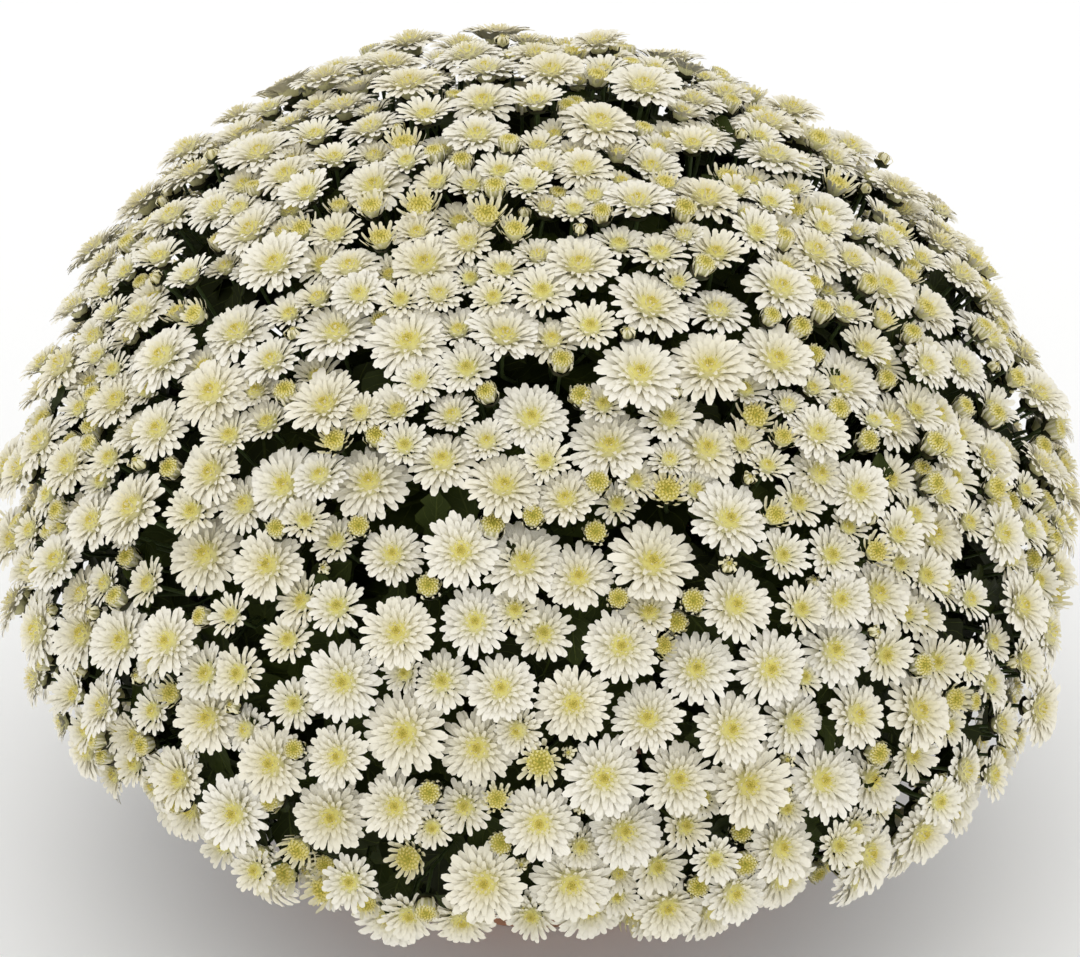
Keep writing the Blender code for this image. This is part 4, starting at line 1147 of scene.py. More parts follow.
    def disc_height(self, owner: Array, out: Array) -> Array:
        """The height of the disc above the face: a low dome with a dimple in the middle.

        Args:
            owner: the heads.
            out: the distance from the middle, as a share of the disc's radius.

        Returns:
            Heights in metres.
        """
        heads, build = self.heads, self.floret
        disc = (heads.form("disc") * heads.radius)[owner]
        crown = (heads.form("crown") * heads.radius)[owner]
        dimple = build.dimple * np.exp(-((out / build.dimple_width) ** 2))
        return crown - build.below_crown * heads.radius[owner] + disc * (build.dome * (1 - out**2) - dimple)

    def discs(self, chosen: Array) -> Surface:
        """The body under the florets and the inner petals: a turned surface from the middle of the disc out,
        then down to the cup. Its olive at the disc's edge and the shoulder is partly its own colour and
        partly painted shade, the shade seen in the gaps between the inner petals.

        Args:
            chosen: the numbers of the heads.

        Returns:
            The surface.
        """
        heads = self.heads
        radius, disc = heads.radius[chosen], (heads.form("disc") * heads.radius)[chosen]
        opened = np.maximum(self.body * radius, disc * self.past_disc[0])
        wide = np.where(heads.stage[chosen] >= Stage.HALF, opened, disc * self.past_disc[1])
        rim, crown = heads.form("rim")[chosen], heads.form("crown")[chosen]
        shoulder = radius * (rim + (crown - rim) * (1 - (wide / radius) ** 2) - self.body_below)
        edge = self.disc_height(chosen, np.ones(len(chosen))) - self.under_florets
        middle = self.disc_height(chosen, np.zeros(len(chosen))) - self.under_florets
        foot_radius = heads.cup_radius()[chosen] * self.body_foot[0]
        foot = -(heads.form("depth") * heads.radius)[chosen] * self.body_foot[1]
        radial = np.stack([disc * self.body_hole, disc, wide, foot_radius], 1)[..., None]
        height = np.stack([middle, edge, np.minimum(shoulder, edge), foot], 1)[..., None]
        theta = ring_angles(self.body_sides)
        points = self.in_world(
            chosen, heads.turn[chosen], radial * np.cos(theta), height + 0 * theta, radial * np.sin(theta)
        )
        # painted shade: the olive of the disc's edge and the shoulder, and the extra shoulder green below,
        # stand for the shade seen between the inner petals; the rest is the body's own colour
        tone = np.array(self.body_tones_and_painted_shade)[None, :, None] + 0 * points[..., 0]
        shade = np.where(heads.stage[chosen] == Stage.FULL, *self.painted_gap_shades)[:, None, None]
        shoulder_only = np.array([0, 0, 1.0, 0])[None, :, None]
        green = np.array(self.body_greens_and_painted_shade)[None, :, None] + shoulder_only * shade + 0 * tone
        values = {"tone": tone, "green": green, "tint": heads.tint[chosen][:, None, None]}
        return Surface.grid(points, values, closed=True, flip=True)

    def blossom(self, chosen: Array) -> Surface:
        """All that is white or yellow on some heads.

        Args:
            chosen: the numbers of the heads.

        Returns:
            The surface.
        """
        wide = chosen[self.heads.stage[chosen] >= Stage.HALF]
        small = chosen[self.heads.stage[chosen] < Stage.HALF]
        parts = [self.florets(chosen), self.discs(chosen)]
        if len(wide):
            parts.extend(self.petals(wide, rows) for rows in WIDE_ROWS)
        if len(small):
            parts.extend(self.petals(small, rows) for rows in SMALL_ROWS)
        return Surface.joined(parts)

    def cup_foot(self, chosen: Array) -> Array:
        """The height of the cup's foot below each face, in metres."""
        depth = (self.heads.form("depth") * self.heads.radius)[chosen]
        return -depth - self.cup_depth * self.heads.cup_radius()[chosen]

    def cups(self, chosen: Array) -> Surface:
        """The green cups: a bowl turned round the head's axis, whose rim is cut into scales by a saw.

        Args:
            chosen: the numbers of the heads.

        Returns:
            The surface.
        """
        heads, sides = self.heads, self.cup_sides
        cup = heads.cup_radius()[chosen][:, None, None]
        depth = (heads.form("depth") * heads.radius)[chosen][:, None, None]
        foot = self.cup_foot(chosen)[:, None, None]
        theta = ring_angles(sides)
        saw = np.where(np.arange(sides) % 2 == 0, 1.0, 0.0)
        rim_rise = np.where(heads.stage[chosen] <= Stage.BUTTON, *self.cup_rises)[:, None, None] * cup
        side = cup * (self.cup_side[0] + self.cup_side[1] * saw)
        tips = cup * np.where(saw > 0, *self.cup_tips)
        radial = np.concatenate([cup * self.cup_foot_radius + 0 * saw, side, tips], 1)
        side_height = -depth - self.cup_side_depth * cup + 0 * saw
        tip_height = -depth + rim_rise * (self.scale_rise[0] + self.scale_rise[1] * saw)
        height = np.concatenate([foot + 0 * saw, side_height, tip_height], 1)
        points = self.in_world(
            chosen, heads.turn[chosen], radial * np.cos(theta), height, radial * np.sin(theta)
        )
        edge = np.broadcast_to(np.array(self.cup_edges)[:, None], (len(chosen), 3, sides))
        values = {"edge": edge, "tint": heads.tint[chosen][:, None, None]}
        return Surface.grid(points, values, closed=True)

    def stalks(self, chosen: Array, hubs: Array) -> Surface:
        """The stalks: quadratic curves from each cup's foot, back along the head's axis, to its spray's hub.

        Args:
            chosen: the numbers of the heads.
            hubs: where each spray branches, by spray.

        Returns:
            The surface.
        """
        heads, rng = self.heads, self.rng
        start = heads.face[chosen] + heads.axis[chosen] * self.cup_foot(chosen)[:, None]
        end = hubs[heads.spray[chosen]] + rng.normal(0, self.hub_scatter, start.shape)
        far = np.linalg.norm(end - start, axis=1, keepdims=True)
        control = start - heads.axis[chosen] * far * self.stalk_reach
        share = np.array(self.stalk_stations)
        path = bezier(start[:, None], control[:, None], end[:, None], share[None, :, None])
        base, grown = self.stalk_sizes
        size = (base + grown * heads.radius[chosen])[:, None]
        thick = self.stalk_radius * size * (1 + self.stalk_flare * share)
        values = {"edge": np.zeros((len(chosen), len(share))), "tint": heads.tint[chosen][:, None]}
        return tubes(path, thick, self.stalk_sides, values)


@dataclass(frozen=True)
class LeafLayer:
    """One layer of leaves: the least and greatest depth of their middles below the blooms, how many, their
    mean length and half width, and their points along and across."""

    near: float
    deep: float
    count: int
    length: float
    half: float
    steps: tuple[int, int]


@dataclass(frozen=True)
class LeafShape:
    """The outline and the bends of a leaf, as shares of its length or its half width. Droops and folds are
    drawn between two numbers, and waves holds how fast the edge ripples along the leaf and across it."""

    ends: Pair = (0.012, 0.985)
    oval_powers: Pair = (0.80, 0.75)
    lobes: float = 3.0
    lobe_phase: float = 0.15
    lobe_depth: float = 0.46
    lobe_fade: float = 0.2
    lobe_slope: Pair = (1.6, 0.5)
    lobes_from: float = 0.12
    least_width: float = 0.045
    forward: float = 0.16
    forward_power: float = 1.5
    droops: Pair = (0.05, 0.32)
    folds: Pair = (0.10, 0.35)
    edge_wave: float = 0.06
    waves: Pair = (17.0, 2.0)


@dataclass(frozen=True)
class SkirtShape:
    """The leaves at the lower edge: how many, and between which numbers each is drawn. Every third hangs in
    an inner row."""

    count: int = 150
    inner_every: int = 3
    angle: float = math.radians(116)
    length: float = 0.042
    half: float = 0.0155
    jitter: Pair = (-0.4, 0.4)
    tilt: Pair = (-0.09, 0.05)
    depths: Pair = (0.054, 0.036)
    depth_jitter: Pair = (-0.006, 0.006)
    inner_lean: Pair = (0.05, 0.4)
    outer_lean: Pair = (0.2, 0.7)
    normal_scatter: float = 0.3
    lengths: Pair = (0.7, 1.05)
    halves: Pair = (0.8, 1.05)


@dataclass(frozen=True)
class BranchShape:
    """The branches: how they leave the crown and bend, their sizes in metres, and their steps."""

    rise: Pair = (-0.012, 0.012)
    start: float = 0.6
    knee_radius: float = 0.045
    knee_rise: float = 0.035
    bend: float = 0.0016
    radii: Pair = (0.0034, 0.0019)
    thickness: Pair = (0.85, 1.15)
    edges: Pair = (0.9, 0.2)
    stations: int = 9
    sides: int = 7


@dataclass
class Foliage:
    """The leaves under the heads, the sprays' branches and the leaves of the skirt."""

    layout: Layout
    hub_depth: float = 0.085
    layers: tuple[LeafLayer, ...] = (
        LeafLayer(0.009, 0.024, 520, 0.036, 0.0115, (11, 5)),
        LeafLayer(0.028, 0.048, 520, 0.058, 0.0195, (8, 5)),
        LeafLayer(0.052, 0.074, 400, 0.074, 0.0260, (6, 3)),
    )
    leaf: LeafShape = LeafShape()
    edge_leaves: SkirtShape = SkirtShape()
    branch: BranchShape = BranchShape()
    lowest_leaf: float = math.radians(120)
    outward: Pair = (0.05, 0.9)
    normal_scatter: float = 0.25
    face_up: float = 0.3
    lengths: Pair = (0.75, 1.2)
    foot_share: float = 0.6
    sectors: int = 8
    rng: np.random.Generator = field(default_factory=lambda: np.random.default_rng(34))

    def hubs(self) -> Array:
        """Where each spray's stalks meet."""
        return self.layout.dome.point(self.layout.roots, self.hub_depth)

    def sector(self, direction: Array) -> Array:
        """Which of the leafy stems a direction belongs to."""
        turn = np.arctan2(direction[:, 1], direction[:, 0]) + math.pi
        return np.minimum((turn / (2 * math.pi) * self.sectors).astype(int), self.sectors - 1)

    def blades(
        self,
        base: Array,
        along: Array,
        normal: Array,
        length: Array,
        half: Array,
        steps: tuple[int, int] = (13, 5),
    ) -> Surface:
        """Lobed leaves. The outline's half width is a long oval, cut by a saw into lobes that point forward.
        The blade droops with the square of the way along, folds up along the rib and waves at its edge.

        Args:
            base: the leaves' feet.
            along: the way each leaf points.
            normal: its upper side.
            length: its length.
            half: its greatest half width.
            steps: points along and across.

        Returns:
            The surface.
        """
        rng, leaf = self.rng, self.leaf
        side = unit(np.cross(normal, along))
        normal = np.cross(along, side)
        share = np.linspace(0, 1, steps[0])[None, :, None]
        across = np.linspace(-1, 1, steps[1])[None, None]
        inner_power, outer_power = leaf.oval_powers
        oval = np.sin(math.pi * np.clip(share, *leaf.ends) ** inner_power) ** outer_power
        phase = (share * leaf.lobes + leaf.lobe_phase) % 1.0
        steep, late = leaf.lobe_slope
        notch = leaf.lobe_depth * (1 - share) ** leaf.lobe_fade * np.clip(phase * steep - late, 0, 1)
        cut = 1 - notch * (share > leaf.lobes_from)
        wide = half[:, None, None] * np.maximum(oval * cut, leaf.least_width) * across
        forward = leaf.forward * np.abs(across) ** leaf.forward_power * oval * half[:, None, None] * 2
        droop = rng.uniform(*leaf.droops, len(base))[:, None, None] * share**2 * length[:, None, None]
        fold = rng.uniform(*leaf.folds, len(base))[:, None, None] * np.abs(wide)
        along_wave, across_wave = leaf.waves
        ripple = np.sin(share * along_wave + across * across_wave)
        wave = leaf.edge_wave * half[:, None, None] * ripple * np.abs(across)
        out = (share * length[:, None, None] + forward)[..., None] * along[:, None, None]
        up = (fold + wave - droop)[..., None] * normal[:, None, None]
        points = base[:, None, None] + out + wide[..., None] * side[:, None, None] + up
        tint = rng.random(len(base))[:, None, None]
        return Surface.grid(points, {"edge": np.abs(across) + 0 * share, "tint": tint}, flip=True)

    def layer(self, made: LeafLayer) -> tuple[Surface, Array]:
        """One layer of leaves under the blooms, each from a foot deeper in the bush, leaning out at random.

        Args:
            made: the layer's sizes.

        Returns:
            The surface, and the sector of each leaf.
        """
        rng, dome, count = self.rng, self.layout.dome, made.count
        way = self.layout.spread(rng, count, self.lowest_leaf)
        depth = rng.uniform(made.near, made.deep, count)
        middle = dome.point(way, depth + self.layout.hollow(dome.point(way)))
        first, second = across_axes(way)
        turn = rng.random(count) * 2 * math.pi
        flat = first * np.cos(turn)[:, None] + second * np.sin(turn)[:, None]
        along = unit(flat + way * rng.uniform(*self.outward, count)[:, None])
        normal = unit(way + rng.normal(0, self.normal_scatter, way.shape) + self.face_up * UP)
        long = made.length * rng.uniform(*self.lengths, count)
        base = middle - along * long[:, None] * self.foot_share
        blades = self.blades(base, along, normal, long, made.half * long / made.length, made.steps)
        return blades, self.sector(way)

    def skirt(self) -> tuple[Surface, Array]:
        """Leaves that hang out and down from the bush's lower edge, in two rows.

        Returns:
            The surface, and the sector of each leaf.
        """
        rng, made = self.rng, self.edge_leaves
        count = made.count
        azimuth = (np.arange(count) + rng.uniform(*made.jitter, count)) * 2 * math.pi / count
        inner = np.arange(count) % made.inner_every == 0
        way = polar(made.angle + rng.uniform(*made.tilt, count), azimuth)
        depth = np.where(inner, *made.depths) + rng.uniform(*made.depth_jitter, count)
        base = self.layout.dome.point(way, depth + self.layout.hollow(self.layout.dome.point(way)))
        out = np.stack([np.cos(azimuth), np.sin(azimuth), 0 * azimuth], -1)
        inner_lean = rng.uniform(*made.inner_lean, count)
        lean = np.where(inner, inner_lean, rng.uniform(*made.outer_lean, count))
        along = unit(out * lean[:, None] - UP)
        normal = unit(out + rng.normal(0, made.normal_scatter, out.shape))
        long = made.length * rng.uniform(*made.lengths, count)
        blades = self.blades(base, along, normal, long, made.half * rng.uniform(*made.halves, count))
        return blades, self.sector(way)

    def branches(self, crown_height: float, crown_radius: float) -> tuple[Surface, Array]:
        """The sprays' branches: quadratic curves from the woody crown, over the pot's rim, to each hub.

        Args:
            crown_height: the height at which they leave the crown.
            crown_radius: the crown's radius.

        Returns:
            The surface, and the sector of each branch.
        """
        hubs, rng, branch = self.hubs(), self.rng, self.branch
        count, stations = len(hubs), branch.stations
        azimuth = np.arctan2(hubs[:, 1], hubs[:, 0])
        out = np.stack([np.cos(azimuth), np.sin(azimuth), 0 * azimuth], -1)
        rise = rng.uniform(*branch.rise, count)
        start = out * crown_radius * branch.start + UP * (crown_height + rise)[:, None]
        knee = out * branch.knee_radius + UP * (crown_height + branch.knee_rise + rise)[:, None]
        share = np.linspace(0, 1, stations)[None, :, None]
        path = bezier(start[:, None], knee[:, None], hubs[:, None], share)
        path = path + rng.normal(0, branch.bend, path.shape) * (share * (1 - share) * 4)
        thick = np.linspace(*branch.radii, stations)[None] * rng.uniform(*branch.thickness, (count, 1))
        edge = np.linspace(*branch.edges, stations)[None] + np.zeros((count, 1))
        values = {"edge": edge, "tint": rng.random((count, 1))}
        return tubes(path, thick, branch.sides, values), self.sector(self.layout.roots)

    def parted(self, surface: Surface, sector: Array) -> list[Surface]:
        """One surface for each sector, from a surface of like grids.

        Args:
            surface: grids one after another.
            sector: the sector of each grid.

        Returns:
            The surfaces, by sector.
        """
        per_grid = len(surface.points) // len(sector)
        faces = surface.faces[0].reshape(len(sector), -1, 4)
        parts = []
        for number in range(self.sectors):
            own = np.flatnonzero(sector == number)
            rows = (own[:, None] * per_grid + np.arange(per_grid)).reshape(-1)
            shift = (np.arange(len(own)) - own) * per_grid
            moved = faces[own] + shift[:, None, None]
            values = {name: value[rows] for name, value in surface.values.items()}
            parts.append(Surface(surface.points[rows], [moved.reshape(-1, 4)], values, surface.uv[rows]))
        return parts


def nodes_of(material: bpy.types.Material) -> tuple[Tree, bpy.types.Node]:
    """The material's node tree and its Principled shader."""
    material.use_nodes = True
    return material.node_tree, material.node_tree.nodes["Principled BSDF"]


@dataclass(frozen=True)
class Finish:
    """What every finish shares: a name, its gloss, the strength and the depth in metres of its relief, and
    helpers that add nodes. In the finishes below, a noise is its scale and its detail."""

    name: str
    roughness: float
    specular: float
    relief: Pair = (0.5, 0.0004)

    def material(self) -> bpy.types.Material:
        """Builds the material: an even gloss, with the pattern's colour and a bump from its height.

        Returns:
            The material.
        """
        material = bpy.data.materials.new(self.name)
        tree, shader = nodes_of(material)
        shader.inputs["Roughness"].default_value = self.roughness
        shader.inputs["Specular IOR Level"].default_value = self.specular
        colour, height = self.pattern(tree)
        tree.links.new(colour, shader.inputs["Base Color"])
        bump = tree.nodes.new("ShaderNodeBump")
        bump.inputs["Strength"].default_value, bump.inputs["Distance"].default_value = self.relief
        tree.links.new(height, bump.inputs["Height"])
        tree.links.new(bump.outputs["Normal"], shader.inputs["Normal"])
        return material

    def pattern(self, tree: Tree) -> tuple[Socket, Socket]:
        """The colour and the height of the finish. Each finish makes its own."""
        raise NotImplementedError

    def value(self, tree: Tree, name: str) -> Socket:
        """The piece's own value of that name.

        Args:
            tree: the node tree.
            name: the value's name.

        Returns:
            The value's socket.
        """
        node = tree.nodes.new("ShaderNodeAttribute")
        node.attribute_name = name
        return node.outputs["Fac"]

    def unwrapped(self, tree: Tree) -> tuple[Socket, Socket]:
        """The piece's UV map.

        Args:
            tree: the node tree.

        Returns:
            The sockets of U, across the piece, and V, along it.
        """
        node = tree.nodes.new("ShaderNodeUVMap")
        node.uv_map = "along"
        split = tree.nodes.new("ShaderNodeSeparateXYZ")
        tree.links.new(node.outputs["UV"], split.inputs["Vector"])
        return split.outputs["X"], split.outputs["Y"]

    def ramp(self, tree: Tree, source: Socket, stops: Stops) -> Socket:
        """A colour ramp over a value.

        Args:
            tree: the node tree.
            source: the value.
            stops: places from 0 to 1 with their colours.

        Returns:
            The colour socket.
        """
        node = tree.nodes.new("ShaderNodeValToRGB")
        elements = node.color_ramp.elements
        for number, (place, colour) in enumerate(stops):
            element = elements[number] if number < 2 else elements.new(place)
            element.position = place
            element.color = (*colour, 1)
        tree.links.new(source, node.inputs["Fac"])
        return node.outputs["Color"]

    def mix(self, tree: Tree, share: Input, one: Input, other: Input, kind: str = "MIX") -> Socket:
        """A mix of two colours; each input is a socket, a number or a colour.

        Args:
            tree: the node tree.
            share: how much of the second.
            one: the first colour.
            other: the second colour.
            kind: how they blend.

        Returns:
            The colour socket.
        """
        node = tree.nodes.new("ShaderNodeMix")
        node.data_type = "RGBA"
        node.blend_type = kind
        sockets = [socket for socket in node.inputs if socket.enabled]
        for socket, given in zip(sockets, (share, one, other)):
            if isinstance(given, Socket):
                tree.links.new(given, socket)
            else:
                socket.default_value = given if isinstance(given, float) else (*given, 1)
        return next(socket for socket in node.outputs if socket.enabled)

    def dimmed(self, tree: Tree, colour: Socket, source: Socket, stops: Stops) -> Socket:
        """The product of a colour and a colour ramp over a value.

        Args:
            tree: the node tree.
            colour: the colour.
            source: the value.
            stops: the ramp's places and colours.

        Returns:
            The colour socket.
        """
        return self.mix(tree, 1.0, colour, self.ramp(tree, source, stops), "MULTIPLY")

    def maths(self, tree: Tree, kind: str, one: Input, other: Input = 0.0) -> Socket:
        """A sum, product or the like of two values.

        Args:
            tree: the node tree.
            kind: what is worked out.
            one: the first value.
            other: the second value.

        Returns:
            The value's socket.
        """
        node = tree.nodes.new("ShaderNodeMath")
        node.operation = kind
        for socket, given in zip(node.inputs, (one, other)):
            if isinstance(given, Socket):
                tree.links.new(given, socket)
            else:
                socket.default_value = given
        return node.outputs[0]

    def noise(self, tree: Tree, scale: float, detail: float = 3.0, stretch: Place | None = None) -> Socket:
        """Noise over the object's own coordinates.

        Args:
            tree: the node tree.
            scale: how fine it is.
            detail: how many finer layers it has.
            stretch: what its three coordinates are multiplied by first.

        Returns:
            The value's socket.
        """
        place = tree.nodes.new("ShaderNodeTexCoord").outputs["Object"]
        if stretch:
            mapping = tree.nodes.new("ShaderNodeMapping")
            mapping.inputs["Scale"].default_value = stretch
            tree.links.new(place, mapping.inputs["Vector"])
            place = mapping.outputs["Vector"]
        node = tree.nodes.new("ShaderNodeTexNoise")
        node.inputs["Scale"].default_value = scale
        node.inputs["Detail"].default_value = detail
        tree.links.new(place, node.inputs["Vector"])
        return node.outputs["Fac"]


@dataclass(frozen=True)
class PetalFinish(Finish):
    """White petals that turn cream and yellow towards the heart, with fine ribs along them."""

    relief: Pair = (0.35, 0.00012)
    white: Colour = (0.922, 0.890, 0.803)
    cream: Colour = (0.925, 0.865, 0.565)
    yellow: Colour = (0.89, 0.785, 0.27)
    gold: Colour = (0.85, 0.675, 0.075)
    # the heads' own green, and on the discs' edge and shoulder also painted shade between the inner petals
    green: Colour = (0.30, 0.36, 0.04)
    cream_at: float = 0.34
    yellow_at: float = 0.68
    blotch_scale: float = 55.0
    blotches: Stops = ((0.3, (0.93, 0.93, 0.90)), (0.7, WHITE))
    tints: Stops = ((0.0, WHITE), (1.0, (0.97, 0.955, 0.89)))
    ribs: float = 5.0

    def pattern(self, tree: Tree) -> tuple[Socket, Socket]:
        """The petals' colour by their tone and green, and ribs as a sine across them.

        Args:
            tree: the node tree.

        Returns:
            The sockets of the colour and the height.
        """
        middle = ((self.cream_at, self.cream), (self.yellow_at, self.yellow))
        stops = ((0.0, self.white), (1.0, self.gold), *middle)
        colour = self.ramp(tree, self.value(tree, "tone"), stops)
        # the green mix: the heads' own green, and on the discs' edge and shoulder painted shade between the
        # inner petals
        colour = self.mix(tree, self.value(tree, "green"), colour, self.green)
        colour = self.dimmed(tree, colour, self.noise(tree, self.blotch_scale), self.blotches)
        colour = self.dimmed(tree, colour, self.value(tree, "tint"), self.tints)
        across, _ = self.unwrapped(tree)
        turn = self.maths(tree, "MULTIPLY", across, self.ribs * 2 * math.pi)
        return colour, self.maths(tree, "SINE", turn)


@dataclass(frozen=True)
class LeafFinish(Finish):
    """Very dark green leaves with a paler rib and side veins that run forward from it. The greens are partly
    the leaves' own and partly painted shade, darker than a leaf is, so the gaps in the bush read nearly
    black.
    """

    # painted shade: dark and fresh are darker than a leaf's own green, for the near-black gaps in the bush
    dark: Colour = (0.014, 0.017, 0.003)
    fresh: Colour = (0.034, 0.046, 0.007)
    vein: Colour = (0.055, 0.069, 0.014)
    rib: Stops = ((0.015, WHITE), (0.035, BLACK))
    side_veins: float = 6.0
    vein_slant: float = 0.45
    veins: Stops = ((0.04, (0.8, 0.8, 0.8)), (0.10, BLACK))
    blotch_scale: float = 90.0
    blotches: Stops = ((0.35, (0.75, 0.78, 0.70)), (0.7, WHITE))

    def pattern(self, tree: Tree) -> tuple[Socket, Socket]:
        """The leaves' colour. The rib is the middle of U; a side vein is where V, less a share of the
        distance from the rib, passes each of its steps.

        Args:
            tree: the node tree.

        Returns:
            The sockets of the colour and the height.
        """
        colour = self.ramp(tree, self.value(tree, "tint"), ((0.0, self.dark), (1.0, self.fresh)))
        across, along = self.unwrapped(tree)
        aside = self.maths(tree, "ABSOLUTE", self.maths(tree, "SUBTRACT", across, 0.5))
        slant = self.maths(tree, "SUBTRACT", along, self.maths(tree, "MULTIPLY", aside, self.vein_slant))
        saw = self.maths(tree, "FRACT", self.maths(tree, "MULTIPLY", slant, self.side_veins))
        rib, veins = self.ramp(tree, aside, self.rib), self.ramp(tree, saw, self.veins)
        both = self.mix(tree, 1.0, rib, veins, "LIGHTEN")
        colour = self.mix(tree, both, colour, self.vein)
        return self.dimmed(tree, colour, self.noise(tree, self.blotch_scale), self.blotches), both


@dataclass(frozen=True)
class StalkFinish(Finish):
    """Thin green stalks and scaly cups, brown where a scale ends."""

    relief: Pair = (0.4, 0.0004)
    stalk: Colour = (0.060, 0.090, 0.024)
    scale: Colour = (0.038, 0.046, 0.014)
    brown: Colour = (0.040, 0.024, 0.010)
    scale_from: float = 0.35
    scale_to: float = 0.7
    grain_scale: float = 260.0
    grain: Stops = ((0.3, (0.65, 0.65, 0.60)), (0.7, WHITE))

    def pattern(self, tree: Tree) -> tuple[Socket, Socket]:
        """The colour from stalk to scale edge, with a fine grain.

        Args:
            tree: the node tree.

        Returns:
            The sockets of the colour and the height.
        """
        middle = ((self.scale_from, self.scale), (self.scale_to, self.scale))
        stops = ((0.0, self.stalk), (1.0, self.brown), *middle)
        colour = self.ramp(tree, self.value(tree, "edge"), stops)
        grain = self.noise(tree, self.grain_scale)
        return self.dimmed(tree, colour, grain, self.grain), grain


@dataclass(frozen=True)
class BarkFinish(Finish):
    """Grey-brown woody bark with ridges along the stem."""

    relief: Pair = (0.8, 0.0012)
    pale: Colour = (0.30, 0.22, 0.13)
    dark: Colour = (0.10, 0.065, 0.036)
    places: Pair = (0.35, 0.7)
    ridges: Pair = (420.0, 4.0)
    stretch: Place = (1.0, 1.0, 0.18)

    def pattern(self, tree: Tree) -> tuple[Socket, Socket]:
        """Noise drawn out along the stem, as colour and as height.

        Args:
            tree: the node tree.

        Returns:
            The sockets of the colour and the height.
        """
        ridges = self.noise(tree, *self.ridges, self.stretch)
        return self.ramp(tree, ridges, tuple(zip(self.places, (self.dark, self.pale)))), ridges


@dataclass(frozen=True)
class PotFinish(Finish):
    """Matt moulded plastic in an earthy red-brown: an even colour with a fine grain, paler scuffs, and dust
    of dried compost towards the foot."""

    relief: Pair = (0.25, 0.0002)
    brown: Colour = (0.52, 0.24, 0.13)
    worn: Colour = (0.46, 0.205, 0.11)
    places: Pair = (0.3, 0.7)
    mottle: Pair = (7.0, 4.0)
    scuffed: Colour = (0.60, 0.33, 0.22)
    scuff: Pair = (70.0, 7.0)
    scuffs: Stops = ((0.60, BLACK), (0.72, (0.45, 0.45, 0.45)))
    dust: Colour = (0.30, 0.22, 0.15)
    dust_height: float = 0.045
    dusty: Stops = ((0.0, (0.6, 0.6, 0.6)), (1.0, BLACK))
    patch: Pair = (40.0, 5.0)
    patches: Stops = ((0.42, BLACK), (0.62, WHITE))
    grain: Pair = (1400.0, 2.0)

    def pattern(self, tree: Tree) -> tuple[Socket, Socket]:
        """The mottled colour, with scuffs, and patches of dust that fade with the height over the base.

        Args:
            tree: the node tree.

        Returns:
            The sockets of the colour and the height.
        """
        stops = tuple(zip(self.places, (self.worn, self.brown)))
        colour = self.ramp(tree, self.noise(tree, *self.mottle), stops)
        scuffs = self.ramp(tree, self.noise(tree, *self.scuff), self.scuffs)
        colour = self.mix(tree, scuffs, colour, self.scuffed)
        split = tree.nodes.new("ShaderNodeSeparateXYZ")
        tree.links.new(tree.nodes.new("ShaderNodeTexCoord").outputs["Object"], split.inputs["Vector"])
        height = self.maths(tree, "DIVIDE", split.outputs["Z"], self.dust_height)
        low = self.ramp(tree, height, self.dusty)
        patchy = self.dimmed(tree, low, self.noise(tree, *self.patch), self.patches)
        return self.mix(tree, patchy, colour, self.dust), self.noise(tree, *self.grain)


@dataclass(frozen=True)
class CompostFinish(Finish):
    """Dark crumbly compost with paler bits."""

    relief: Pair = (1.0, 0.003)
    dark: Colour = (0.020, 0.013, 0.009)
    brown: Colour = (0.085, 0.055, 0.036)
    places: Pair = (0.35, 0.68)
    crumbs: Pair = (240.0, 6.0)

    def pattern(self, tree: Tree) -> tuple[Socket, Socket]:
        """Fine noise, as colour and as height.

        Args:
            tree: the node tree.

        Returns:
            The sockets of the colour and the height.
        """
        crumbs = self.noise(tree, *self.crumbs)
        return self.ramp(tree, crumbs, tuple(zip(self.places, (self.dark, self.brown)))), crumbs


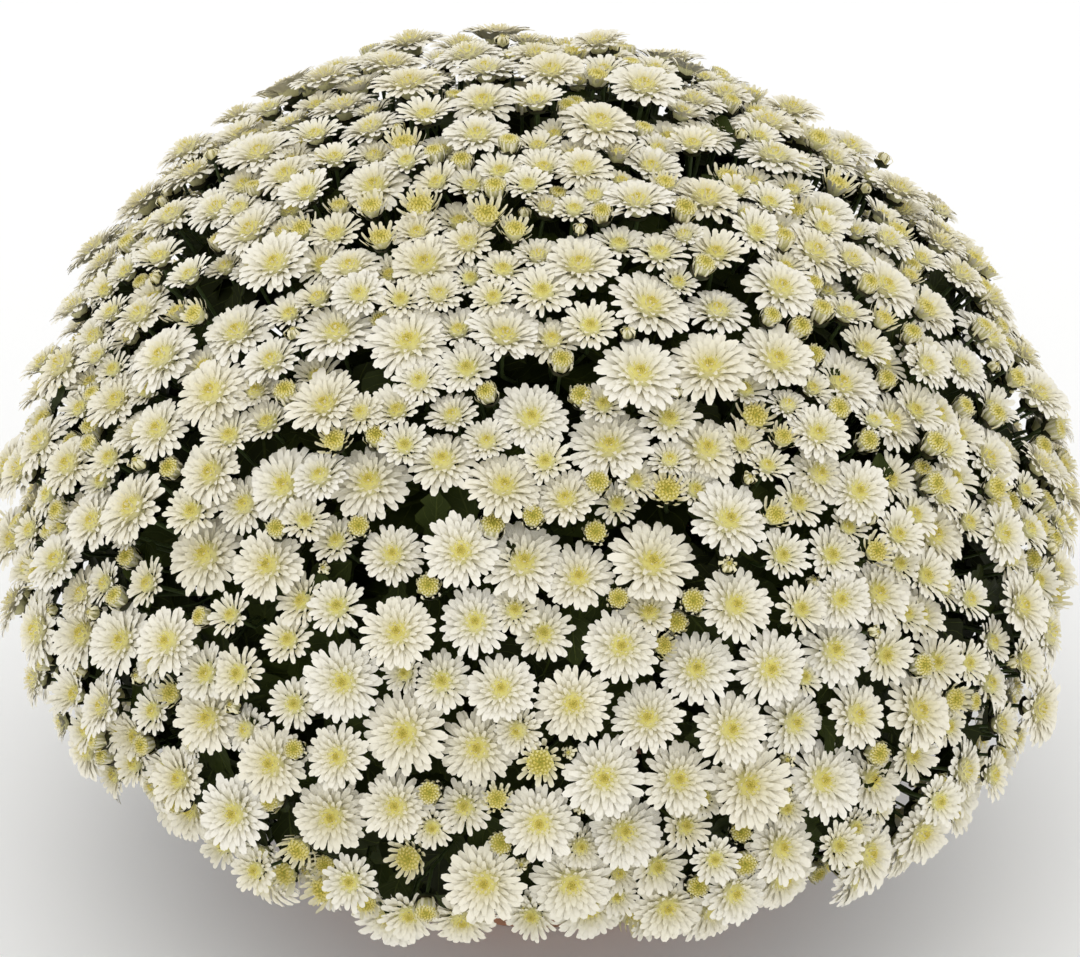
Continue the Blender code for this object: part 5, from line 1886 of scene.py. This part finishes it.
@dataclass
class Pot:
    """The plain pot, its compost and the woody crown, as finer surfaces over the frame's ones. The compost's
    first_wave is in radians per metre, and each wave is wave_growth times as fine as the one before."""

    height: float = 0.170
    rim_radius: float = 0.135
    base_radius: float = 0.098
    wall: float = 0.004
    floor: float = 0.006
    band: float = 0.026
    step: float = 0.004
    lip: float = 0.003
    drain_radius: float = 0.006
    drain_circle: float = 0.062
    drain_holes: int = 4
    flat_radius: float = 0.030
    soil_below: float = 0.012
    soil_gap: float = 0.0015
    crown_radius: float = 0.0125
    crown_above: float = 0.040
    crown_in_soil: float = 0.028
    sides: int = 144
    foot_round: float = 0.0022
    band_round: float = 0.0012
    rim_round: float = 0.0030
    inner_rim_round: float = 0.0018
    floor_round: float = 0.003
    drain_sides: int = 32
    soil_sides: int = 120
    soil_rings: int = 42
    soil_from: float = 0.9
    mound: float = 0.004
    soil_waves: int = 36
    first_wave: float = 60.0
    wave_growth: float = 1.075
    wave_height: float = 0.055
    edge_drop: float = 0.0015
    crown_sides: int = 40
    crown_rows: int = 26
    crown_lift: float = 0.0003
    crown_taper: Pair = (0.94, 0.06)
    crown_power: int = 10
    crown_tip: float = 0.0004
    ridge_counts: tuple[int, ...] = (3, 4, 5, 6, 7, 8)
    ridge_depth: float = 0.035
    ridge_twist: float = 3.0

    @property
    def level(self) -> float:
        """The height of the compost's edge."""
        return self.height - self.soil_below

    def inner_radius(self, height: float) -> float:
        """The radius of the pot's inner wall at a height."""
        share = (height - self.floor) / (self.height - self.floor)
        return self.base_radius - self.wall + share * (self.rim_radius - self.step - self.base_radius)

    def turned(self, profile: Array, sides: int) -> Surface:
        """A profile turned round the upright axis: radius and height at each station, on a ring of sides.
        Flat faces close its first and last ring.

        Args:
            profile: radius and height pairs, from the foot outwards and up.
            sides: how many sides.

        Returns:
            The closed surface.
        """
        theta = ring_angles(sides)
        radial, height = profile[:, 0:1], profile[:, 1:2]
        points = np.stack([radial * np.cos(theta), radial * np.sin(theta), height + 0 * theta], -1)[None]
        surface = Surface.grid(points, {}, closed=True)
        rings = np.arange(len(profile) * sides).reshape(-1, sides)
        surface.faces += [rings[:1, ::-1], rings[-1:]]
        return surface

    def rounded(self, corners: list[tuple[float, float, float]], steps: int = 6) -> Array:
        """A profile with its corners rounded, each by a quadratic curve between points on its two sides.

        Args:
            corners: radius, height and how far from the corner its rounding starts.
            steps: points of each rounding.

        Returns:
            Radius and height pairs.
        """
        at = np.array([corner[:2] for corner in corners])
        share = np.linspace(0, 1, steps)[:, None]
        rows = [at[:1]]
        for before, here, after, (_, _, soft) in zip(at, at[1:], at[2:], corners[1:]):
            start = here + unit(before - here) * soft
            end = here + unit(after - here) * soft
            rows.append(bezier(start, here, end, share))
        rows.append(at[-1:])
        return np.concatenate(rows)

    def wall_surface(self) -> Surface:
        """The pot's turned wall: flat foot, flare, rim band with rounded edges, rolled lip, inside and floor.

        Returns:
            The surface.
        """
        band = self.height - self.band
        under = self.base_radius + (self.rim_radius - self.step - self.base_radius) * band / self.height
        corners = [
            (self.flat_radius, 0.0, 0.0),
            (self.base_radius, 0.0, self.foot_round),
            (under, band, self.band_round),
            (self.rim_radius, band + self.lip / 3, self.band_round),
            (self.rim_radius, self.height, self.rim_round),
            (self.inner_radius(self.height), self.height, self.inner_rim_round),
            (self.inner_radius(self.floor), self.floor, self.floor_round),
            (self.flat_radius, self.floor, 0.0),
        ]
        return self.turned(self.rounded(corners), self.sides)

    def drills(self) -> tuple[Surface, ...]:
        """The round cutters of the drain holes, even on their circle, half a step past the first axis.

        Returns:
            Closed surfaces.
        """
        ends = np.array([[self.drain_radius, -self.floor], [self.drain_radius, 2 * self.floor]])
        shape = self.turned(ends, self.drain_sides)
        made = []
        for number in range(self.drain_holes):
            angle = (number + 0.5) * 2 * math.pi / self.drain_holes
            away = self.drain_circle * np.array([math.cos(angle), math.sin(angle), 0])
            made.append(Surface(shape.points + away, shape.faces, {}, shape.uv))
        return tuple(made)

    def soil_surface(self, seed: int = 5) -> Surface:
        """The compost: a low mound on a polar grid. Its height is a sum of waves in random directions, each
        finer and lower than the last by the same factor.

        Args:
            seed: the seed of the random draws.

        Returns:
            The surface.
        """
        rng = np.random.default_rng(seed)
        edge = self.inner_radius(self.level) - self.soil_gap
        radial = np.linspace(self.crown_radius * self.soil_from, edge, self.soil_rings)[:, None]
        theta = ring_angles(self.soil_sides)
        x, y = radial * np.cos(theta), radial * np.sin(theta)
        height = self.level + self.mound * (1 - (radial / edge) ** 2) + 0 * x
        for power in range(self.soil_waves):
            way, phase = rng.random(2) * 2 * math.pi
            wave = self.first_wave * self.wave_growth**power
            ripple = np.sin(wave * (x * np.cos(way) + y * np.sin(way)) + phase)
            height = height + self.wave_height / wave * ripple
        height[-1] = self.level - self.edge_drop
        top = np.stack([x, y, height], -1)[None]
        return Surface.grid(top, {}, closed=True, flip=True)

    def crown_surface(self, seed: int = 8) -> Surface:
        """The woody crown: a turned stump that ends in a dome, its radius waved into ridges by the absolute
        sine of the angle round, with a twist along it.

        Args:
            seed: the seed of the random draws.

        Returns:
            The surface.
        """
        rng = np.random.default_rng(seed)
        share = np.linspace(0, 1, self.crown_rows)[:, None]
        theta = ring_angles(self.crown_sides)[None]
        foot = self.level - self.crown_in_soil + self.crown_lift
        height = foot + (self.level + self.crown_above - foot) * share + 0 * theta
        base, grown = self.crown_taper
        dome = np.sqrt(np.clip(1 - share**self.crown_power, self.crown_tip, 1))
        radial = self.crown_radius * (base + grown * share) * dome + 0 * theta
        for number in self.ridge_counts:
            phase = rng.random() * 2 * math.pi
            ridge = np.abs(np.sin(number * theta + phase + self.ridge_twist * share))
            radial = radial * (1 - self.ridge_depth * ridge)
        points = np.stack([radial * np.cos(theta), radial * np.sin(theta), height], -1)[None]
        return Surface.grid(points, {}, closed=True)


@dataclass
class Studio:
    """The pale floor and the soft light."""

    floor_size: float = 14.0
    floor_colour: Colour = (0.96, 0.96, 0.955)
    floor_roughness: float = 0.9
    floor_specular: float = 0.1
    sky: float = 1.03
    key_watts: float = 7.0
    key_size: float = 2.4
    key_place: Place = (-0.5, -1.3, 3.0)
    key_aim: Place = (0.0, 0.0, 0.2)

    def build(self) -> None:
        """Makes the floor, the sky and the lamp."""
        half = self.floor_size / 2
        grid = np.linspace(-half, half, 2)
        x, y = np.meshgrid(grid, grid)
        mesh = bpy.data.meshes.new("floor")
        points = np.stack([x, y, 0 * x], -1).reshape(-1, 3)
        mesh.from_pydata(points.tolist(), [], [(0, 1, 3, 2)])
        floor = bpy.data.objects.new("floor", mesh)
        material = bpy.data.materials.new("studio_floor")
        _, shader = nodes_of(material)
        shader.inputs["Base Color"].default_value = (*self.floor_colour, 1)
        shader.inputs["Roughness"].default_value = self.floor_roughness
        shader.inputs["Specular IOR Level"].default_value = self.floor_specular
        mesh.materials.append(material)
        bpy.context.scene.collection.objects.link(floor)
        world = bpy.data.worlds.new("studio")
        bpy.context.scene.world = world
        world.use_nodes = True
        ground = world.node_tree.nodes["Background"]
        ground.inputs["Color"].default_value = (1.0, 1.0, 1.0, 1)
        ground.inputs["Strength"].default_value = self.sky
        lamp = bpy.data.lights.new("key", "AREA")
        lamp.shape = "DISK"
        lamp.size = self.key_size
        lamp.energy = self.key_watts
        key = bpy.data.objects.new("key", lamp)
        key.location = self.key_place
        key.rotation_mode = "QUATERNION"
        aim = Vector(self.key_aim) - Vector(self.key_place)
        key.rotation_quaternion = aim.to_track_quat("-Z", "Y")
        bpy.context.scene.collection.objects.link(key)
        bpy.context.scene.view_settings.view_transform = "Standard"


@dataclass
class Chrysanthemum:
    """The whole plant and its pot."""

    dome: Dome
    picture: Picture
    branches_above: float = 0.026

    def build(self) -> int:
        """Builds every piece.

        Returns:
            How many triangles they have.
        """
        layout = Layout(self.dome, self.picture)
        heads = layout.place()
        flowers = FlowerHeads(heads, layout)
        total = self.build_sprays(flowers, heads)
        total += self.build_greens(flowers, Foliage(layout), heads)
        total += self.build_pot()
        return total

    def build_sprays(self, flowers: FlowerHeads, heads: Heads) -> int:
        """The petals and florets, a piece for each of the frame's sprays.

        Args:
            flowers: makes the flower heads.
            heads: where they are.

        Returns:
            How many triangles the pieces have.
        """
        material = PetalFinish("petal", 0.55, 0.35).material()
        total = 0
        for spray in range(flowers.layout.sprays):
            chosen = np.flatnonzero(heads.spray == spray)
            node = f"spray_{spray + 1:02d}"
            total += flowers.blossom(chosen).piece(f"{node}_blossom", material, "petal", node)
        return total

    def build_greens(self, flowers: FlowerHeads, foliage: Foliage, heads: Heads) -> int:
        """The leaves, and the stalks with the cups, a piece of each for each of the frame's leafy stems.

        Args:
            flowers: makes the cups and stalks.
            foliage: makes the leaves and branches.
            heads: where the flower heads are.

        Returns:
            How many triangles the pieces have.
        """
        leaf = LeafFinish("leaf", 0.62, 0.10).material()
        stalk = StalkFinish("stalk", 0.60, 0.35).material()
        groups = [foliage.parted(*foliage.layer(layer)) for layer in foliage.layers]
        groups.append(foliage.parted(*foliage.skirt()))
        pot = Pot()
        branches = foliage.parted(*foliage.branches(pot.level + self.branches_above, pot.crown_radius))
        hubs = foliage.hubs()
        head_sector = foliage.sector(foliage.layout.roots)[heads.spray]
        total = 0
        for number in range(foliage.sectors):
            node = f"leafy_stem_{number + 1}"
            leaves = Surface.joined([group[number] for group in groups])
            total += leaves.piece(f"{node}_leaves", leaf, "leaf", node)
            chosen = np.flatnonzero(head_sector == number)
            green = Surface.joined([flowers.cups(chosen), flowers.stalks(chosen, hubs), branches[number]])
            total += green.piece(f"{node}_stalks", stalk, "leaf", node)
        return total

    def build_pot(self) -> int:
        """The pot, its compost and the woody crown.

        Returns:
            How many triangles the pieces have.
        """
        pot = Pot()
        plastic = PotFinish("pot_plastic", 0.62, 0.4).material()
        total = pot.wall_surface().piece("pot_wall", plastic, "pot", "pot", pot.drills())
        compost = CompostFinish("compost", 0.95, 0.2).material()
        total += pot.soil_surface().piece("compost_top", compost, "compost", "soil")
        bark = BarkFinish("bark", 0.85, 0.3).material()
        total += pot.crown_surface().piece("crown_wood", bark, "stem_wood", "crown")
        return total


def main() -> None:
    """Loads the frame, builds the plant round it, and sets the camera and the light."""
    logging.basicConfig(level=logging.INFO, format="%(message)s")
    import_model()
    dome, picture = Dome(), Picture()
    picture.camera(dome)
    total = Chrysanthemum(dome, picture).build()
    LOG.info("all pieces: %d triangles", total)
    Studio().build()


if __name__ == "__main__":
    main()
